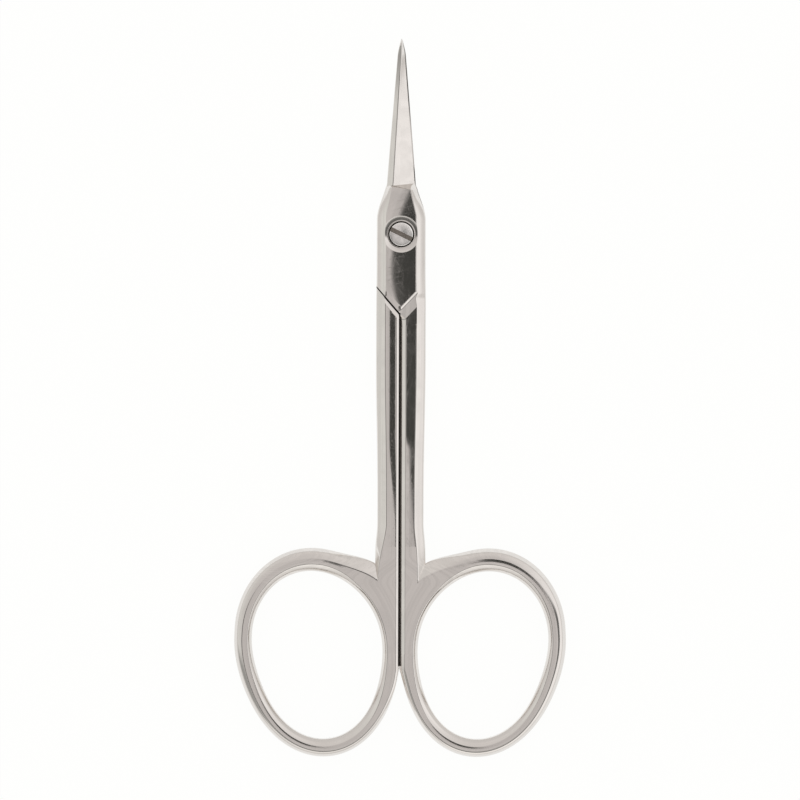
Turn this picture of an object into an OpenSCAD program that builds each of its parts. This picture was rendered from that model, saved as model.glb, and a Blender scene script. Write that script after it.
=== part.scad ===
// Curved cuticle scissors, lying closed on the flat back of their box joint.
// X runs across them, Y runs along them to the blade tips and Z is the pivot's axis.
// X = Y = 0 is the pivot and Z = 0 is the ground facet on the back of the box.
// The two halves are the same forging turned over, apart from the bend of the blades and the holes.

/* [Blades] */
// Length from the pivot to the blade tips
blade_l = 24.4; // [21:0.1:27]
// Distance from the pivot to the step where the grind begins
grind_y = 6.2; // [5.6:0.1:6.8]
// Width across both closed blades where the neck ends
blade_root_w = 3.72; // [3.2:0.02:4.4]
// Width across both closed blades just before the tips
blade_tip_w = 0.8; // [0.6:0.02:1.1]
// Thickness of one blade at its ridge by the box
blade_t = 1.35; // [1.1:0.05:1.5]
// Thickness of one blade at its ridge by the tip
blade_tip_t = 0.5; // [0.4:0.02:0.7]
// Height by which the bent blades lift the tips
blade_rise = 3; // [1:0.1:5]
// Thickness that is left at the cutting edge
edge_t = 0.14; // [0.1:0.01:0.2]
// Distance by which each cutting edge stops short of the other blade's back
edge_step = 0.16; // [0.05:0.01:0.25]
// Depth of the hollow ground into the blade's wide face
hollow = 0.05; // [0:0.01:0.08]
// Width of the strip between the blade's back and its ridge, by the box
strip_w = 1.1; // [0.9:0.05:1.2]
// Width of that strip by the tip
strip_tip_w = 0.34; // [0.24:0.02:0.4]

/* [Box joint] */
// Width of the box
box_w = 6.22; // [5.8:0.02:6.6]
// Thickness of the box
box_t = 3.4; // [3.2:0.05:3.8]
// Width of the flat facet on the box
facet_w = 3.8; // [3.6:0.05:4]
// Width of the flat facet where the grind begins
facet_front_w = 2.1; // [1.8:0.05:2.4]
// Height of the bevel along each side of the box
box_bevel_h = 0.85; // [0.6:0.05:1.1]
// Distance from the pivot to the front end of the box's full width
neck_start_y = 1.8; // [1.4:0.1:2.2]
// Distance from the pivot to the end of the neck
neck_end_y = 7; // [6.9:0.1:7.6]
// Distance from the pivot to the slanting shoulder, at the side of the box
shoulder_side_y = 6.5; // [6.2:0.1:6.8]
// Distance from the pivot to the slanting shoulder, at the middle of the box
shoulder_mid_y = 9.85; // [9.7:0.05:10.2]
// Distance from the pivot to the point of the flat facet
facet_point_y = 9.06; // [8.9:0.02:9.2]

/* [Shanks] */
// Thickness of the shanks
shank_t = 2.9; // [2.7:0.05:3.1]
// Width across both shanks at the waist above the rings
waist_w = 5.82; // [5.6:0.02:6]
// Distance from the pivot to that waist
waist_y = 35; // [32:0.5:38]
// Width of the bevel along the outer side of a shank
shank_bevel_w = 1.12; // [0.9:0.02:1.3]
// Height of the bevel along the outer side of a shank
shank_bevel_h = 0.8; // [0.6:0.05:1]
// Width of the broad bevel along the inner side of a shank
inner_bevel_w = 0.65; // [0.5:0.05:0.8]
// Height of the broad bevel along the inner side of a shank
inner_bevel_h = 0.45; // [0.3:0.05:0.6]
// Width of the narrow bevel along the inner side of a shank
inner_edge_w = 0.27; // [0.2:0.01:0.35]
// Sideways lean of the plane between the shanks for each millimetre of height
split_lean = 0.14; // [0:0.01:0.2]

/* [Finger rings] */
// Distance from the pivot to the middle of the finger rings
ring_y = 52.35; // [50:0.05:55]
// Distance from the middle line to the middle of each finger ring
ring_x = 10.3; // [10.1:0.05:10.6]
// Length of the finger opening
finger_l = 21.1; // [19.5:0.1:22]
// Width of the finger opening
finger_w = 16.1; // [15.5:0.1:16.4]
// Angle by which the finger opening leans outwards, in degrees
finger_lean = 9.9; // [6:0.1:14]
// Amount by which the finger opening bulges at its shoulders and its lower end
finger_bulge = 0.22; // [0:0.01:0.35]
// Width of the ring's band round its outer side
band_w = 2.24; // [2.1:0.02:2.4]
// Extra width of the ring's band at its top
band_extra_w = 0.68; // [0.4:0.02:0.9]
// Thickness of the rings at their crest
ring_t = 2.76; // [2.5:0.02:2.86]

/* [Pivot screw] */
// Diameter of the screw's head
head_d = 3.04; // [2.8:0.02:3.2]
// Thickness of the screw's head at its rim
head_t = 0.82; // [0.7:0.02:0.9]
// Radius of the dome on the screw's head
dome_r = 9; // [6:0.5:14]
// Width of the screwdriver slot
slot_w = 0.56; // [0.4:0.02:0.7]
// Depth of the screwdriver slot
slot_depth = 0.5; // [0.4:0.02:0.6]
// Angle of the screwdriver slot from the X axis, in degrees
slot_angle = -26; // [-90:1:90]
// Diameter of the smooth journal that the front half turns on
journal_d = 2.2; // [2:0.02:2.4]
// Diameter of the threaded end in the rear half
thread_d = 2; // [1.8:0.02:2.1]
// Diameter of the hammered end of the screw
rivet_d = 2.7; // [2.5:0.02:2.9]
// Height of the hammered end's cone
rivet_h = 0.4; // [0.3:0.02:0.5]
// Diameter of the dish round the head, at the facet
dish_d = 4.6; // [4.4:0.02:5]
// Depth of the dish
dish_depth = 0.16; // [0.1:0.01:0.2]
// Depth of the counterbore's floor below the facet
counterbore_depth = 0.98; // [0.94:0.01:1.04]

/* [Fits] */
// Gap between the two halves of the box, and between the blades
lap_gap = 0.1; // [0.06:0.01:0.14]
// Gap between the closed shanks and rings
shank_gap = 0.18; // [0.12:0.01:0.24]
// Gap along the slanting shoulders
shoulder_gap = 0.2; // [0.15:0.01:0.3]
// Gap round the head in its counterbore
head_gap = 0.2; // [0.12:0.01:0.24]
// Gap round the journal in its bore
journal_gap = 0.04; // [0.02:0.01:0.08]
// Gap between the head and the counterbore's floor
head_seat_gap = 0.04; // [0.02:0.01:0.06]
// Overlap of the threaded end in its tapped hole
thread_bite = 0.02; // [0.01:0.01:0.03]
// Depth at which the screw's hammered end lies in the back facet
rivet_inset = 0.04; // [0.02:0.01:0.06]

/* [Hidden] */

steel = [0.78, 0.76, 0.73];
screw_steel = [0.70, 0.69, 0.67];
round_fn = 64;
dome_fn = 96;

mid_z = box_t / 2;
box_d = box_t / 2;
shank_d = shank_t / 2;
lap_d = lap_gap / 2;

// Kinds of cross-section along a half
BLADE = 0;
LAP = 1;
SHOULDER = 2;
SHANK = 3;

// Steps that are too small to see, which keep corners apart
hair = 0.02;

// Where the loft changes its kind, hidden in what the shoulders cut away
lower_start_y = shoulder_side_y - 0.4;
lower_start_x = 1;
step_run = 0.55;
neck_facet_y = 2.4;
facet_turn_y = facet_point_y - 2;
slope_start_y = facet_point_y - 0.46;
point_bevel_w = 0.45;
point_slope_w = 1.49;
point_bevel_drop = (box_d - shank_d) * 0.5;
tail_y = ring_y + 0.4;
tail_start_y = ring_y - 10.5;
tail_hw = 1.85;
tail_drop = 0.25;
tail_side_d = 0.4;

tip_steps = 4;
blade_steps = 14;
shank_steps = 6;
tail_steps = 5;
ring_steps = 60;
tip_round = 1.1;
back_share = 0.72;

function clamp01(t) = min(1, max(0, t));
function ramp(v, v0, v1) = clamp01((v - v0) / (v1 - v0));
function mix(a, b, t) = a + (b - a) * t;
function smooth(t) = t * t * (3 - 2 * t);

// Share of the way from the end of the neck to the tip
function tip_share(y) = ramp(y, neck_end_y, blade_l);

// Rounding of the outline over the last stretch of the tip
function tip_factor(y) = sqrt(1 - pow(ramp(y, blade_l - tip_round, blade_l) * 0.98, 2));

// Half the width of the closed scissors at a distance y along them
function half_w(y) =
    y > neck_end_y
        ? mix(blade_root_w, blade_tip_w, pow(tip_share(y), 1.05)) / 2 * tip_factor(y)
    : y > neck_start_y
        ? mix(box_w, blade_root_w, smooth(ramp(y, neck_start_y, neck_end_y))) / 2
    : -y < tail_start_y
        ? mix(box_w, waist_w, smooth(ramp(-y, waist_y - 20, waist_y))) / 2
        : mix(waist_w / 2, tail_hw, smooth(ramp(-y, tail_start_y, tail_y)));

// Height of the bent blades' middle surface above the plane between the halves
function rise(y) = blade_rise * pow(ramp(y, grind_y, blade_l), 2);

// Half the width of the flat facet on the box, negative beyond its point
function facet_hw(y) =
    y > 0
        ? mix(facet_w, facet_front_w, ramp(y, neck_facet_y, grind_y)) / 2
        : min(1, (facet_point_y + y) / (facet_point_y - facet_turn_y)) * facet_w / 2;

// Height of the top round the facet's point, down to the flat of the shank
function top_d(x, y) =
    let (run = abs(x) - facet_hw(y))
    run < point_bevel_w
        ? mix(box_d, box_d - point_bevel_drop, clamp01(run / point_bevel_w))
        : mix(box_d - point_bevel_drop, shank_d,
              clamp01((run - point_bevel_w) / (point_slope_w - point_bevel_w)));

// Place of the plane between the shanks at height d, for the front half
function split_x(d, y) =
    shank_gap / 2 - split_lean * d * (1 - ramp(-y, tail_start_y, tail_y));

// Points from a to b, without either, at count even steps
function between(a, b, count) = [for (i = [1 : count]) a + (b - a) * i / (count + 1)];

// Underside of a lap or a blade, from its back to xe
function underside(w, xe) = [for (u = [0, 0.45, 0.55, 0.65, 0.75, 1]) [mix(-w, xe, u), lap_d]];

// Lower side of a shank, from its inner face at x_in to its outer side
function shank_under(x_in, outer_x, w, d) = [[x_in + inner_edge_w, -d], [outer_x, -d], [w, shank_bevel_h - d]];

function blade_section(y) =
    let (
        w = half_w(y),
        t = tip_share(y),
        xe = w - min(edge_step, w / 4),
        ridge_d = lap_d + mix(blade_t, blade_tip_t, t),
        ridge_x = -w + min(mix(strip_w, strip_tip_w, t), w * 0.9),
        edge = [xe, lap_d + edge_t],
        ridge = [ridge_x, ridge_d],
        back = [-w, lap_d + (ridge_d - lap_d) * back_share],
        sag = [0, hollow * (1 - t)],
        face = between(edge, ridge, 3)
    )
    concat(
        underside(w, xe),
        [edge, face[0] - sag, face[1] - sag, face[2] - sag, ridge],
        between(ridge, back, 2),
        [back]
    );

function lap_section(y) =
    let (
        w = half_w(y),
        f = facet_hw(y),
        side_d = box_d - box_bevel_h
    )
    concat(
        underside(w, w),
        [[w, side_d]],
        between([w, side_d], [f, box_d], 2),
        [[f, box_d], [-f, box_d]],
        between([-f, box_d], [-w, side_d], 2),
        [[-w, side_d]]
    );

// The lap and the start of the shank under it, before the shoulders are cut
function shoulder_section(y) =
    let (
        w = half_w(y),
        line = facet_hw(y),
        f = max(hair, line),
        t = ramp(-y, facet_turn_y, slope_start_y),
        side_d = mix(box_d - box_bevel_h, shank_d - shank_bevel_h, t),
        x8 = max(f + hair, mix(mix(f, w, 1 / 3), line + point_bevel_w, t)),
        x7 = max(x8 + hair, mix(mix(f, w, 2 / 3), line + point_slope_w, t)),
        d8 = mix(box_d - box_bevel_h * (x8 - f) / (w - f), top_d(x8, y), t),
        d7 = mix(box_d - box_bevel_h * (x7 - f) / (w - f), top_d(x7, y), t),
        df = top_d(f, y)
    )
    concat(
        [[-w, lap_d], [-lower_start_x, lap_d], [-lower_start_x, inner_edge_w - shank_d]],
        shank_under(-lower_start_x, w - shank_bevel_w, w, shank_d),
        [[w, side_d], [x7, d7], [x8, d8], [f, df], [-f, df], [-x8, d8], [-x7, d7], [-w, side_d]]
    );

function shank_section(y) =
    let (
        w = half_w(y),
        tail = ramp(-y, tail_start_y, tail_y),
        d = shank_d - tail_drop * tail,
        low_d = mix(d - inner_edge_w, tail_side_d, tail),
        high_d = mix(d - inner_bevel_h, tail_side_d, tail),
        corner_x = split_x(d, y) + inner_bevel_w,
        outer_x = w - min(shank_bevel_w, w * 0.4),
        flat_x = between(corner_x, outer_x, 2),
        lift = y > -shoulder_mid_y - 2 ? 1 : 0,
        corner = [corner_x, max(d, lift * top_d(corner_x, y))],
        inner = [split_x(high_d, y), high_d]
    )
    concat(
        [for (k = [high_d / 3, -low_d / 3, -low_d]) [split_x(k, y), k]],
        shank_under(split_x(-d, y), outer_x, w, d),
        [[w, d - shank_bevel_h], [outer_x, d]],
        [for (i = [1, 0]) [flat_x[i], max(d, lift * top_d(flat_x[i], y))]],
        [corner],
        between(corner, inner, 2),
        [inner]
    );

function section(y, kind) =
    kind == BLADE ? blade_section(y)
    : kind == LAP ? lap_section(y)
    : kind == SHOULDER ? shoulder_section(y)
    : shank_section(y);

// Places of the cross-sections, from the tip to the end that is sunk in the ring
stations = concat(
    [for (i = [0 : tip_steps]) [blade_l - tip_round * pow(i / tip_steps, 2), BLADE]],
    [for (i = [1 : blade_steps]) [mix(blade_l - tip_round, grind_y, i / blade_steps), BLADE]],
    [for (y = [grind_y - step_run, 4.7, 3.9, 3.1, neck_facet_y, neck_start_y, 0, 2 - lower_start_y]) [y, LAP]],
    [[-lower_start_y, LAP]],
    [for (y = [lower_start_y + hair, facet_turn_y, slope_start_y, facet_point_y, shoulder_mid_y - 0.3,
               shoulder_mid_y]) [-y, SHOULDER]],
    [for (y = [hair, 0.4, 0.8, 1.6]) [-shoulder_mid_y - y, SHANK]],
    [for (i = [1 : shank_steps]) [-mix(shoulder_mid_y + 1.6, tail_start_y, i / shank_steps), SHANK]],
    [for (i = [1 : tail_steps]) [-mix(tail_start_y, tail_y, i / tail_steps), SHANK]]
);

function middle(points) = [for (k = [0 : 2]) let (v = [for (p = points) p[k]]) v * [for (x = v) 1] / len(v)];

// Skin over rings of points that all have the same count, closed by a fan at each end
module skin(rings, closed = false) {
    n = len(rings[0]);
    m = len(rings);
    sides = [
        for (j = [0 : closed ? m - 1 : m - 2]) for (i = [0 : n - 1])
            let (
                k = (j + 1) % m,
                a = j * n + i,
                b = j * n + (i + 1) % n,
                c = k * n + (i + 1) % n,
                e = k * n + i
            )
            each [[a, b, c], [a, c, e]]
    ];
    ends = closed ? [] : [
        for (i = [0 : n - 1])
            each [[m * n, (i + 1) % n, i], [m * n + 1, (m - 1) * n + i, (m - 1) * n + (i + 1) % n]]
    ];
    middles = closed ? [] : [middle(rings[0]), middle(rings[m - 1])];
    polyhedron(points = concat([for (r = rings) each r], middles), faces = concat(sides, ends));
}

// Blade, lap and shank of one half: side is 1 for the front half and -1 for the rear half
module bar(side) {
    skin([
        for (k = [len(stations) - 1 : -1 : 0])
            let (y = stations[k][0])
            [for (p = section(y, stations[k][1])) [side * p[0], y, mid_z + rise(y) + side * p[1]]]
    ]);
}

// Radius of the finger opening at an angle from the outward direction
function finger_r(a) =
    let (
        la = finger_l / 2,
        wa = finger_w / 2,
        c = a + finger_lean - 90
    )
    la * wa / sqrt(pow(wa * cos(c), 2) + pow(la * sin(c), 2)) + finger_bulge * sin(3 * a);

// Radius of the band's outer side, held back from the other ring
function band_r(a) =
    let (r = finger_r(a) + band_w + band_extra_w * max(0, cos(a - 105)))
    cos(a) < -0.1 ? min(r, (ring_x - shank_gap / 2) / -cos(a)) : r;

// The band's cross-section, as shares of its width and of half its thickness
band_profile = [
    [0, -0.45], [0.1, -0.8], [0.3, -1], [0.5, -1], [0.82, -0.78], [1, -0.4],
    [1, 0.4], [0.82, 0.78], [0.5, 1], [0.3, 1], [0.1, 0.8], [0, 0.45]
];

module finger_ring(side) {
    skin([
        for (i = [0 : ring_steps - 1])
            let (a = i * 360 / ring_steps)
            [for (p = band_profile)
                let (r = mix(finger_r(a), band_r(a), p[0]))
                [side * (ring_x + r * cos(a)), r * sin(a) - ring_y, mid_z + side * p[1] * ring_t / 2]]
    ], closed = true);
}

// A slanting line from the side of the box to the middle, carried on past the side
function shoulder_line(x_mid, gap, reach) =
    let (slope = (shoulder_mid_y - shoulder_side_y) / (box_w / 2 - x_mid))
    [[reach, -shoulder_mid_y - gap + slope * (reach - x_mid)], [x_mid, -shoulder_mid_y - gap]];

// What the other half's shank needs: everything beyond the lap's shoulder
module lap_cut(side) {
    reach = box_w;
    x_mid = -split_x(shank_d, 0);
    below = -shoulder_mid_y - 2 * hair;
    line = shoulder_line(x_mid, 0, reach);
    outline = concat(line, [[x_mid, below], [reach, below]]);
    mirror([side > 0 ? 1 : 0, 0, 0])
        translate([0, 0, -box_t])
            linear_extrude(3 * box_t)
                polygon(outline);
}

// What the other half's lap needs: everything inside the shank's shoulder, up to the lap's plane
module shank_cut(side) {
    reach = box_w;
    x_mid = split_x(-shank_d, 0);
    line = shoulder_line(x_mid, shoulder_gap, reach);
    outline = concat(line, [[-reach, line[1][1]], [-reach, 0], [reach, 0]]);
    rotate([0, side > 0 ? 0 : 180, 0])
        translate([0, 0, side * mid_z - box_t])
            linear_extrude(box_t + lap_d)
                polygon(outline);
}

// One half without its holes
module half(side) {
    difference() {
        union() {
            bar(side);
            finger_ring(side);
        }
        lap_cut(side);
        shank_cut(side);
    }
}

// Near half: upper lap, left blade and right finger ring
module front_half() {
    counterbore_r = head_d / 2 + head_gap;
    color(steel)
        difference() {
            half(1);
            // Bore for the journal
            cylinder(h = box_t, d = journal_d + 2 * journal_gap, $fn = round_fn);
            // Counterbore for the head
            translate([0, 0, box_t - counterbore_depth])
                cylinder(h = box_t, r = counterbore_r, $fn = round_fn);
            // Shallow dish round the head
            translate([0, 0, box_t - dish_depth])
                cylinder(h = 2 * dish_depth, r1 = counterbore_r + 0.1,
                         r2 = dish_d - counterbore_r - 0.1, $fn = round_fn);
        }
}

// Far half: lower lap, right blade and left finger ring
module rear_half() {
    color(steel)
        difference() {
            half(-1);
            // Tapped hole for the screw
            translate([0, 0, -1])
                cylinder(h = box_t, d = thread_d - 2 * thread_bite, $fn = round_fn);
            // Countersink that the screw's end is hammered into
            translate([0, 0, -rivet_h])
                cylinder(h = 2 * rivet_h, d1 = 2 * rivet_d - thread_d - 2 * thread_bite,
                         d2 = thread_d - 2 * thread_bite, $fn = round_fn);
        }
}

// Slotted screw: domed head, smooth journal, threaded end and hammered tip
module pivot_screw() {
    seat_z = box_t - counterbore_depth + head_seat_gap;
    journal_z = mid_z - lap_d + 0.02;
    rim_z = seat_z + head_t;
    top_z = rim_z + dome_r - sqrt(pow(dome_r, 2) - pow(head_d / 2, 2));
    color(screw_steel)
        difference() {
            union() {
                // Head under its dome
                intersection() {
                    translate([0, 0, seat_z])
                        cylinder(h = box_t, d = head_d, $fn = round_fn);
                    translate([0, 0, top_z - dome_r])
                        sphere(r = dome_r, $fn = dome_fn);
                }
                // Journal
                translate([0, 0, journal_z])
                    cylinder(h = seat_z - journal_z + 0.2, d = journal_d, $fn = round_fn);
                // Threaded end
                translate([0, 0, rivet_inset])
                    cylinder(h = journal_z, d = thread_d, $fn = round_fn);
                // Hammered tip
                translate([0, 0, rivet_inset])
                    cylinder(h = rivet_h - rivet_inset, d1 = rivet_d, d2 = thread_d, $fn = round_fn);
            }
            // Screwdriver slot
            translate([0, 0, top_z - slot_depth + 1])
                rotate([0, 0, slot_angle])
                    cube([2 * head_d, slot_w, 2], center = true);
        }
}

front_half();
rear_half();
pivot_screw();
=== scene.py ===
"""Cuticle scissors, lying closed on the flat back of their box joint.

Each half is one mesh. Rings of points run from the blade's tip over the box to the shank,
and split there into strips that go round the finger ring. A half is drawn in its own
coordinates: x to its shank's side, y to the tip and d up from the plane between the halves.
The rear half is the same forging turned over about the y axis. Sizes are in millimetres, apart
from those of the camera and the floor.
"""

import math

import bmesh
import bpy
import numpy as np
from mathutils import Matrix, Vector


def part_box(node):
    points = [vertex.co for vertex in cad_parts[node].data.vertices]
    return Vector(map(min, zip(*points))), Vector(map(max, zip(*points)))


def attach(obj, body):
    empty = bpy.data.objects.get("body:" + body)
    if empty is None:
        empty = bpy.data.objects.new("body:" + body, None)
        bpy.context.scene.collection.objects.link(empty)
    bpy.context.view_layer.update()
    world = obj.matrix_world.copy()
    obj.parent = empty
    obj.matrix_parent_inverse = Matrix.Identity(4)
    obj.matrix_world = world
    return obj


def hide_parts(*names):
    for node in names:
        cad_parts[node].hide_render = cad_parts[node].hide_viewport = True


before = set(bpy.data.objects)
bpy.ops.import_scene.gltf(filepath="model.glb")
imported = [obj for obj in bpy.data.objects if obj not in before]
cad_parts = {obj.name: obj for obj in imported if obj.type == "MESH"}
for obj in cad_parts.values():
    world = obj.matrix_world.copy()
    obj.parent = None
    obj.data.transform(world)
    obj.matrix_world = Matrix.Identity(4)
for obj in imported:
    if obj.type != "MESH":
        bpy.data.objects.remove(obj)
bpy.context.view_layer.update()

MM = 0.001

# Blades, which end a little short of the frame's
TIP_SHORTER = 0.15
BLADE_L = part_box("front_half")[1].y / MM - TIP_SHORTER
GRIND_Y = 6.2
BLADE_ROOT_W = 3.54
BLADE_TIP_W = 0.72
BLADE_T = 1.35
BLADE_TIP_T = 0.5
BLADE_RISE = 3
EDGE_T = 0.14
EDGE_STEP = 0.16
HOLLOW = 0.05
STRIP_W = 0.76
STRIP_TIP_W = 0.42
TIP_ROUND = 2
TIP_SHARP = 0.8
TIP_CURVE = 1.7
BACK_SHARE = 0.66
GRIND_LEAN = 0.11
STEP_LEAN = -0.11
LEAN_LEFT_X = -1.2

# Box joint
BOX_W = 6.1
SHANK_TOP_W = 6.2
BOX_T = 3.4
FACET_W = 3.8
FACET_FRONT_W = 2.1
BOX_BEVEL_H = 0.85
BOX_BEVEL_BULGE = 0.05
NECK_START_Y = 1.8
NECK_END_Y = 7
NECK_FACET_Y = 2.4
SHOULDER_SIDE_Y = 6.5
SHOULDER_MID_Y = 9.85
FACET_POINT_Y = 9.06
FACET_TURN_Y = FACET_POINT_Y - 2
POINT_BEVEL_W = 0.4
POINT_SLOPE_W = 1.95
POINT_BEVEL_SHARE = 0.42
LEFT_POINT_FALL = 0.06
POINT_TURN_W = 0.12
POINT_TURN_X = -0.1
BEVEL_STEP_Y = (7.25, 8.1)
INNER_BEVEL_Y = (SHOULDER_MID_Y, 10.7)
PLAIN_SHANK_Y = 11.3
LOWER_START_Y = SHOULDER_SIDE_Y - 0.4
LOWER_START_X = 1
STEP_RUN = 0.5

# Shanks
SHANK_T = 2.9
SHANK_TOP_Y = (4, 9)
WAIST_W = 5.78
WAIST_Y = 33
WAIST_RUN = 18
SHANK_BEVEL_W = 1.12
SHANK_BEVEL_H = 0.8
INNER_BEVEL_W = 0.65
INNER_BEVEL_H = 0.45
INNER_EDGE_W = 0.27
INNER_EDGE_H = 0.12
SPLIT_LEAN = 0.14

# Finger rings
RING_Y = 52.35
RING_X = 10.3
FINGER_L = 21.1
FINGER_W = 16.1
FINGER_LEAN = 9.9
FINGER_BULGE = 0.22
BAND_W = 2.24
BAND_EXTRA_W = 0.68

# Pivot screw and its seat
HEAD_D = 2.94
RIM_ROUND = 0.07
HEAD_T = 0.82
DOME_R = 9
SLOT_W = 0.56
SLOT_DEPTH = 0.5
SLOT_ANGLE = -26
SLOT_BAR_H = 2.0
JOURNAL_D = 2.2
THREAD_D = 2
RIVET_D = 2.7
RIVET_H = 0.4
THREAD_PITCH = 0.4
THREAD_DEPTH = 0.13
DISH_D = 4.6
DISH_DEPTH = 0.16
COUNTERBORE_DEPTH = 0.98

# Fits
LAP_GAP = 0.1
SHANK_GAP = 0.13
SHOULDER_GAP = 0.2
HEAD_GAP = 0.17
JOURNAL_GAP = 0.04
HEAD_SEAT_GAP = 0.04
THREAD_BITE = 0.02
RIVET_INSET = 0.04

MID_Z = BOX_T / 2
BOX_D = BOX_T / 2
SHANK_D = SHANK_T / 2
LAP_D = LAP_GAP / 2
POINT_BEVEL_DROP = (BOX_D - SHANK_D) * POINT_BEVEL_SHARE
HAIR = 0.02

# The crotch, where the shank's outer side meets the ring, and where its valley ends on each face
FLARE_W = 0.24
CROTCH = (3.15, -41.1)
VALLEY_END_TOP = (2.2, -43.4)
VALLEY_END_BOTTOM = (2.8, -43.15)
WEB_START_Y = 36
WEB_END_A = 130
PARTING_A = 189
LEAN_END_A = (186, 205)

# The band's crest, and the bevel round the finger opening where the web is flat
CREST_START_A = (182, 236)
CREST_W = 0.7
CREST_SINK = 0.12
CREST_BULGE = 0.013
HOLE_BEVEL_W = 0.6

# The bevel along the shank's shoulder, and the rim round the head's counterbore
CHAMFER_W = 0.42
CHAMFER_H = 0.13
CHAMFER_RUN_IN = 0.12
RIM_W = 0.1

BLADE, LAP, SHOULDER, SHANK = range(4)

# Material slots of a half
POLISH, FLAT, FACET, GRIND, INNER, TURNED = range(6)

# The grain: the line between the halves, how far one half's lies from the other's, the stretch that
# turns it from along the shank to round the ring, and the offsets that join its two ways
SEAM_X = -0.15
SEAM_STEP = 7.0
CROTCH_BLEND_Y = (40, 44)
WEB_MATCH = (11.7, -23.7)

# The flats' bellies: the line between left and right, the shifts of their middles over stretches of y,
# and where they end; the handles' fall; and the line of the facet's crown
FLATS_SEAM_X = -0.2
LEFT_SHIFTS = ((-37.5, -25, 0.74),)
RIGHT_SHIFTS = ((-27.2, -24.8, 0.66), (-38.5, -27, 0.4))
BELLY_END_Y = (30, 40.5)
HANDLE_LEAN = 0.02
HANDLE_LEAN_Y = 39
CROWN_TURN_Y = -4.4
CROWN_BENDS = (0.0237, 0.0437)
CROWN_X = -1.58

# Steels: tones, and the heights above the slot's floor between which its painted shade ends
STEEL = (0.80, 0.768, 0.738)
SCREW_TONE = (0.95, 0.93, 0.91)
DULL_SHARE = 0.93
SLOT_SHADE = (0.3, 0.27, 0.24)
SLOT_SHADE_H = (0.1, 0.36)
# Tones of the walls inside the joint and the split, dark as painted shade for the gaps between the halves
WALL_PAINTED_SHADE_TONES = ((0.085, 0.078, 0.07), (0.15, 0.135, 0.12))

# Camera, in metres, straight above with a long lens: the width that it sees at one height. Its
# turn is in degrees and its sensor in millimetres.
VIEW_W = 0.1
VIEW_Z = 0.002
CAMERA_D = 0.7
CAMERA_X, CAMERA_Y = -0.000095, -0.02069
CAMERA_TURN = 0.17
SENSOR_W = 36

# Tones of the studio that the steel mirrors: straight above, towards each side, and low all round.
# Each side has the slopes (sine from straight up) where its tone starts and is full.
ZENITH = (0.64, 0.612, 0.6)
SIDES = (
    ((1, 0), (1.05, 1.03, 1.02), (0.1, 0.5)),
    ((-1, 0), (0.80, 0.80, 0.77), (0.5, 0.95)),
    ((0, 1), (0.78, 0.75, 0.73), (0.2, 0.8)),
    ((0, -1), (1.05, 1.03, 1.0), (0.1, 0.5)),
)
LOW_TONE = (0.74, 0.72, 0.7)
LOW_START = 0.93

# Dark shapes in the studio: the card above, the ring round it and the low shade on the left, each
# with its two ranges of slopes and its soft edge, and how dark the last two are beside the card
CARD_TONE = (0.055, 0.055, 0.051)
CARD = ((0.008, 0.16), (-0.03, 0.24), 0.008)
DARK_RING = ((0.28, 0.72), (-0.9, 0.12), 0.07)
LOW_SHADE = ((-3, -0.8), (-1.6, -0.34), 0.15)
RING_SHARE = 0.9
LOW_SHARE = 0.55

# Floor, in metres
FLOOR_HALF_W = 1.5
FLOOR_Z = -0.00003
FLOOR_TONE = (0.9, 0.9, 0.9)
FLOOR_WHITE = (1, 1, 0.99)
FLOOR_WHITE_SHARE = 0.96


def clamp01(t):
    return min(1.0, max(0.0, t))


def ramp(v, v0, v1):
    return clamp01((v - v0) / (v1 - v0))


def mix(a, b, t):
    return a + (b - a) * t


def smooth(t):
    return t * t * (3 - 2 * t)


def cosd(a):
    return math.cos(math.radians(a))


def sind(a):
    return math.sin(math.radians(a))


def spread(a, b, count):
    """count points evenly between a and b, without either."""
    a, b = np.array(a, float), np.array(b, float)
    return [a + (b - a) * (i + 1) / (count + 1) for i in range(count)]


# Outline of the closed scissors
def tip_share(y):
    """0 at the blade's root and 1 at its tip."""
    return ramp(y, NECK_END_Y, BLADE_L)


def half_w(y):
    """Half the width across the closed scissors."""
    if y > NECK_END_Y:
        pointing = 1 - TIP_SHARP * ramp(y, BLADE_L - TIP_ROUND, BLADE_L) ** TIP_CURVE
        return mix(BLADE_ROOT_W, BLADE_TIP_W, tip_share(y)) / 2 * pointing
    if y > NECK_START_Y:
        return mix(BOX_W, BLADE_ROOT_W, smooth(ramp(y, NECK_START_Y, NECK_END_Y))) / 2
    top = mix(BOX_W, SHANK_TOP_W, smooth(ramp(-y, *SHANK_TOP_Y)))
    waist = mix(top, WAIST_W, smooth(ramp(-y, WAIST_Y - WAIST_RUN, WAIST_Y))) / 2
    return waist + FLARE_W * smooth(ramp(-y, WEB_START_Y, -CROTCH[1]))


def rise(y):
    """Height of the bent blades' middle surface above the plane between the halves."""
    return BLADE_RISE * ramp(y, GRIND_Y, BLADE_L) ** 2


def facet_hw(y):
    """Half the width of the box's flat facet, negative beyond its point."""
    if y > 0:
        return mix(FACET_W, FACET_FRONT_W, ramp(y, NECK_FACET_Y, GRIND_Y)) / 2
    return min(1, (FACET_POINT_Y + y) / (FACET_POINT_Y - FACET_TURN_Y)) * FACET_W / 2


def wedge_d(x, y):
    """Height of the two slopes round the facet's point, down to the flat of the shank."""
    line = (FACET_POINT_Y + y) / (FACET_POINT_Y - FACET_TURN_Y) * FACET_W / 2
    run = abs(x) - line
    left = BOX_D - max(0, run) * LEFT_POINT_FALL
    if run < POINT_BEVEL_W:
        right = BOX_D - run * POINT_BEVEL_DROP / POINT_BEVEL_W
    else:
        share = (run - POINT_BEVEL_W) / (POINT_SLOPE_W - POINT_BEVEL_W)
        right = max(SHANK_D, mix(BOX_D - POINT_BEVEL_DROP, SHANK_D, share))
    return mix(left, right, smooth(ramp(x, POINT_TURN_X - POINT_TURN_W, POINT_TURN_X)))


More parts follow.
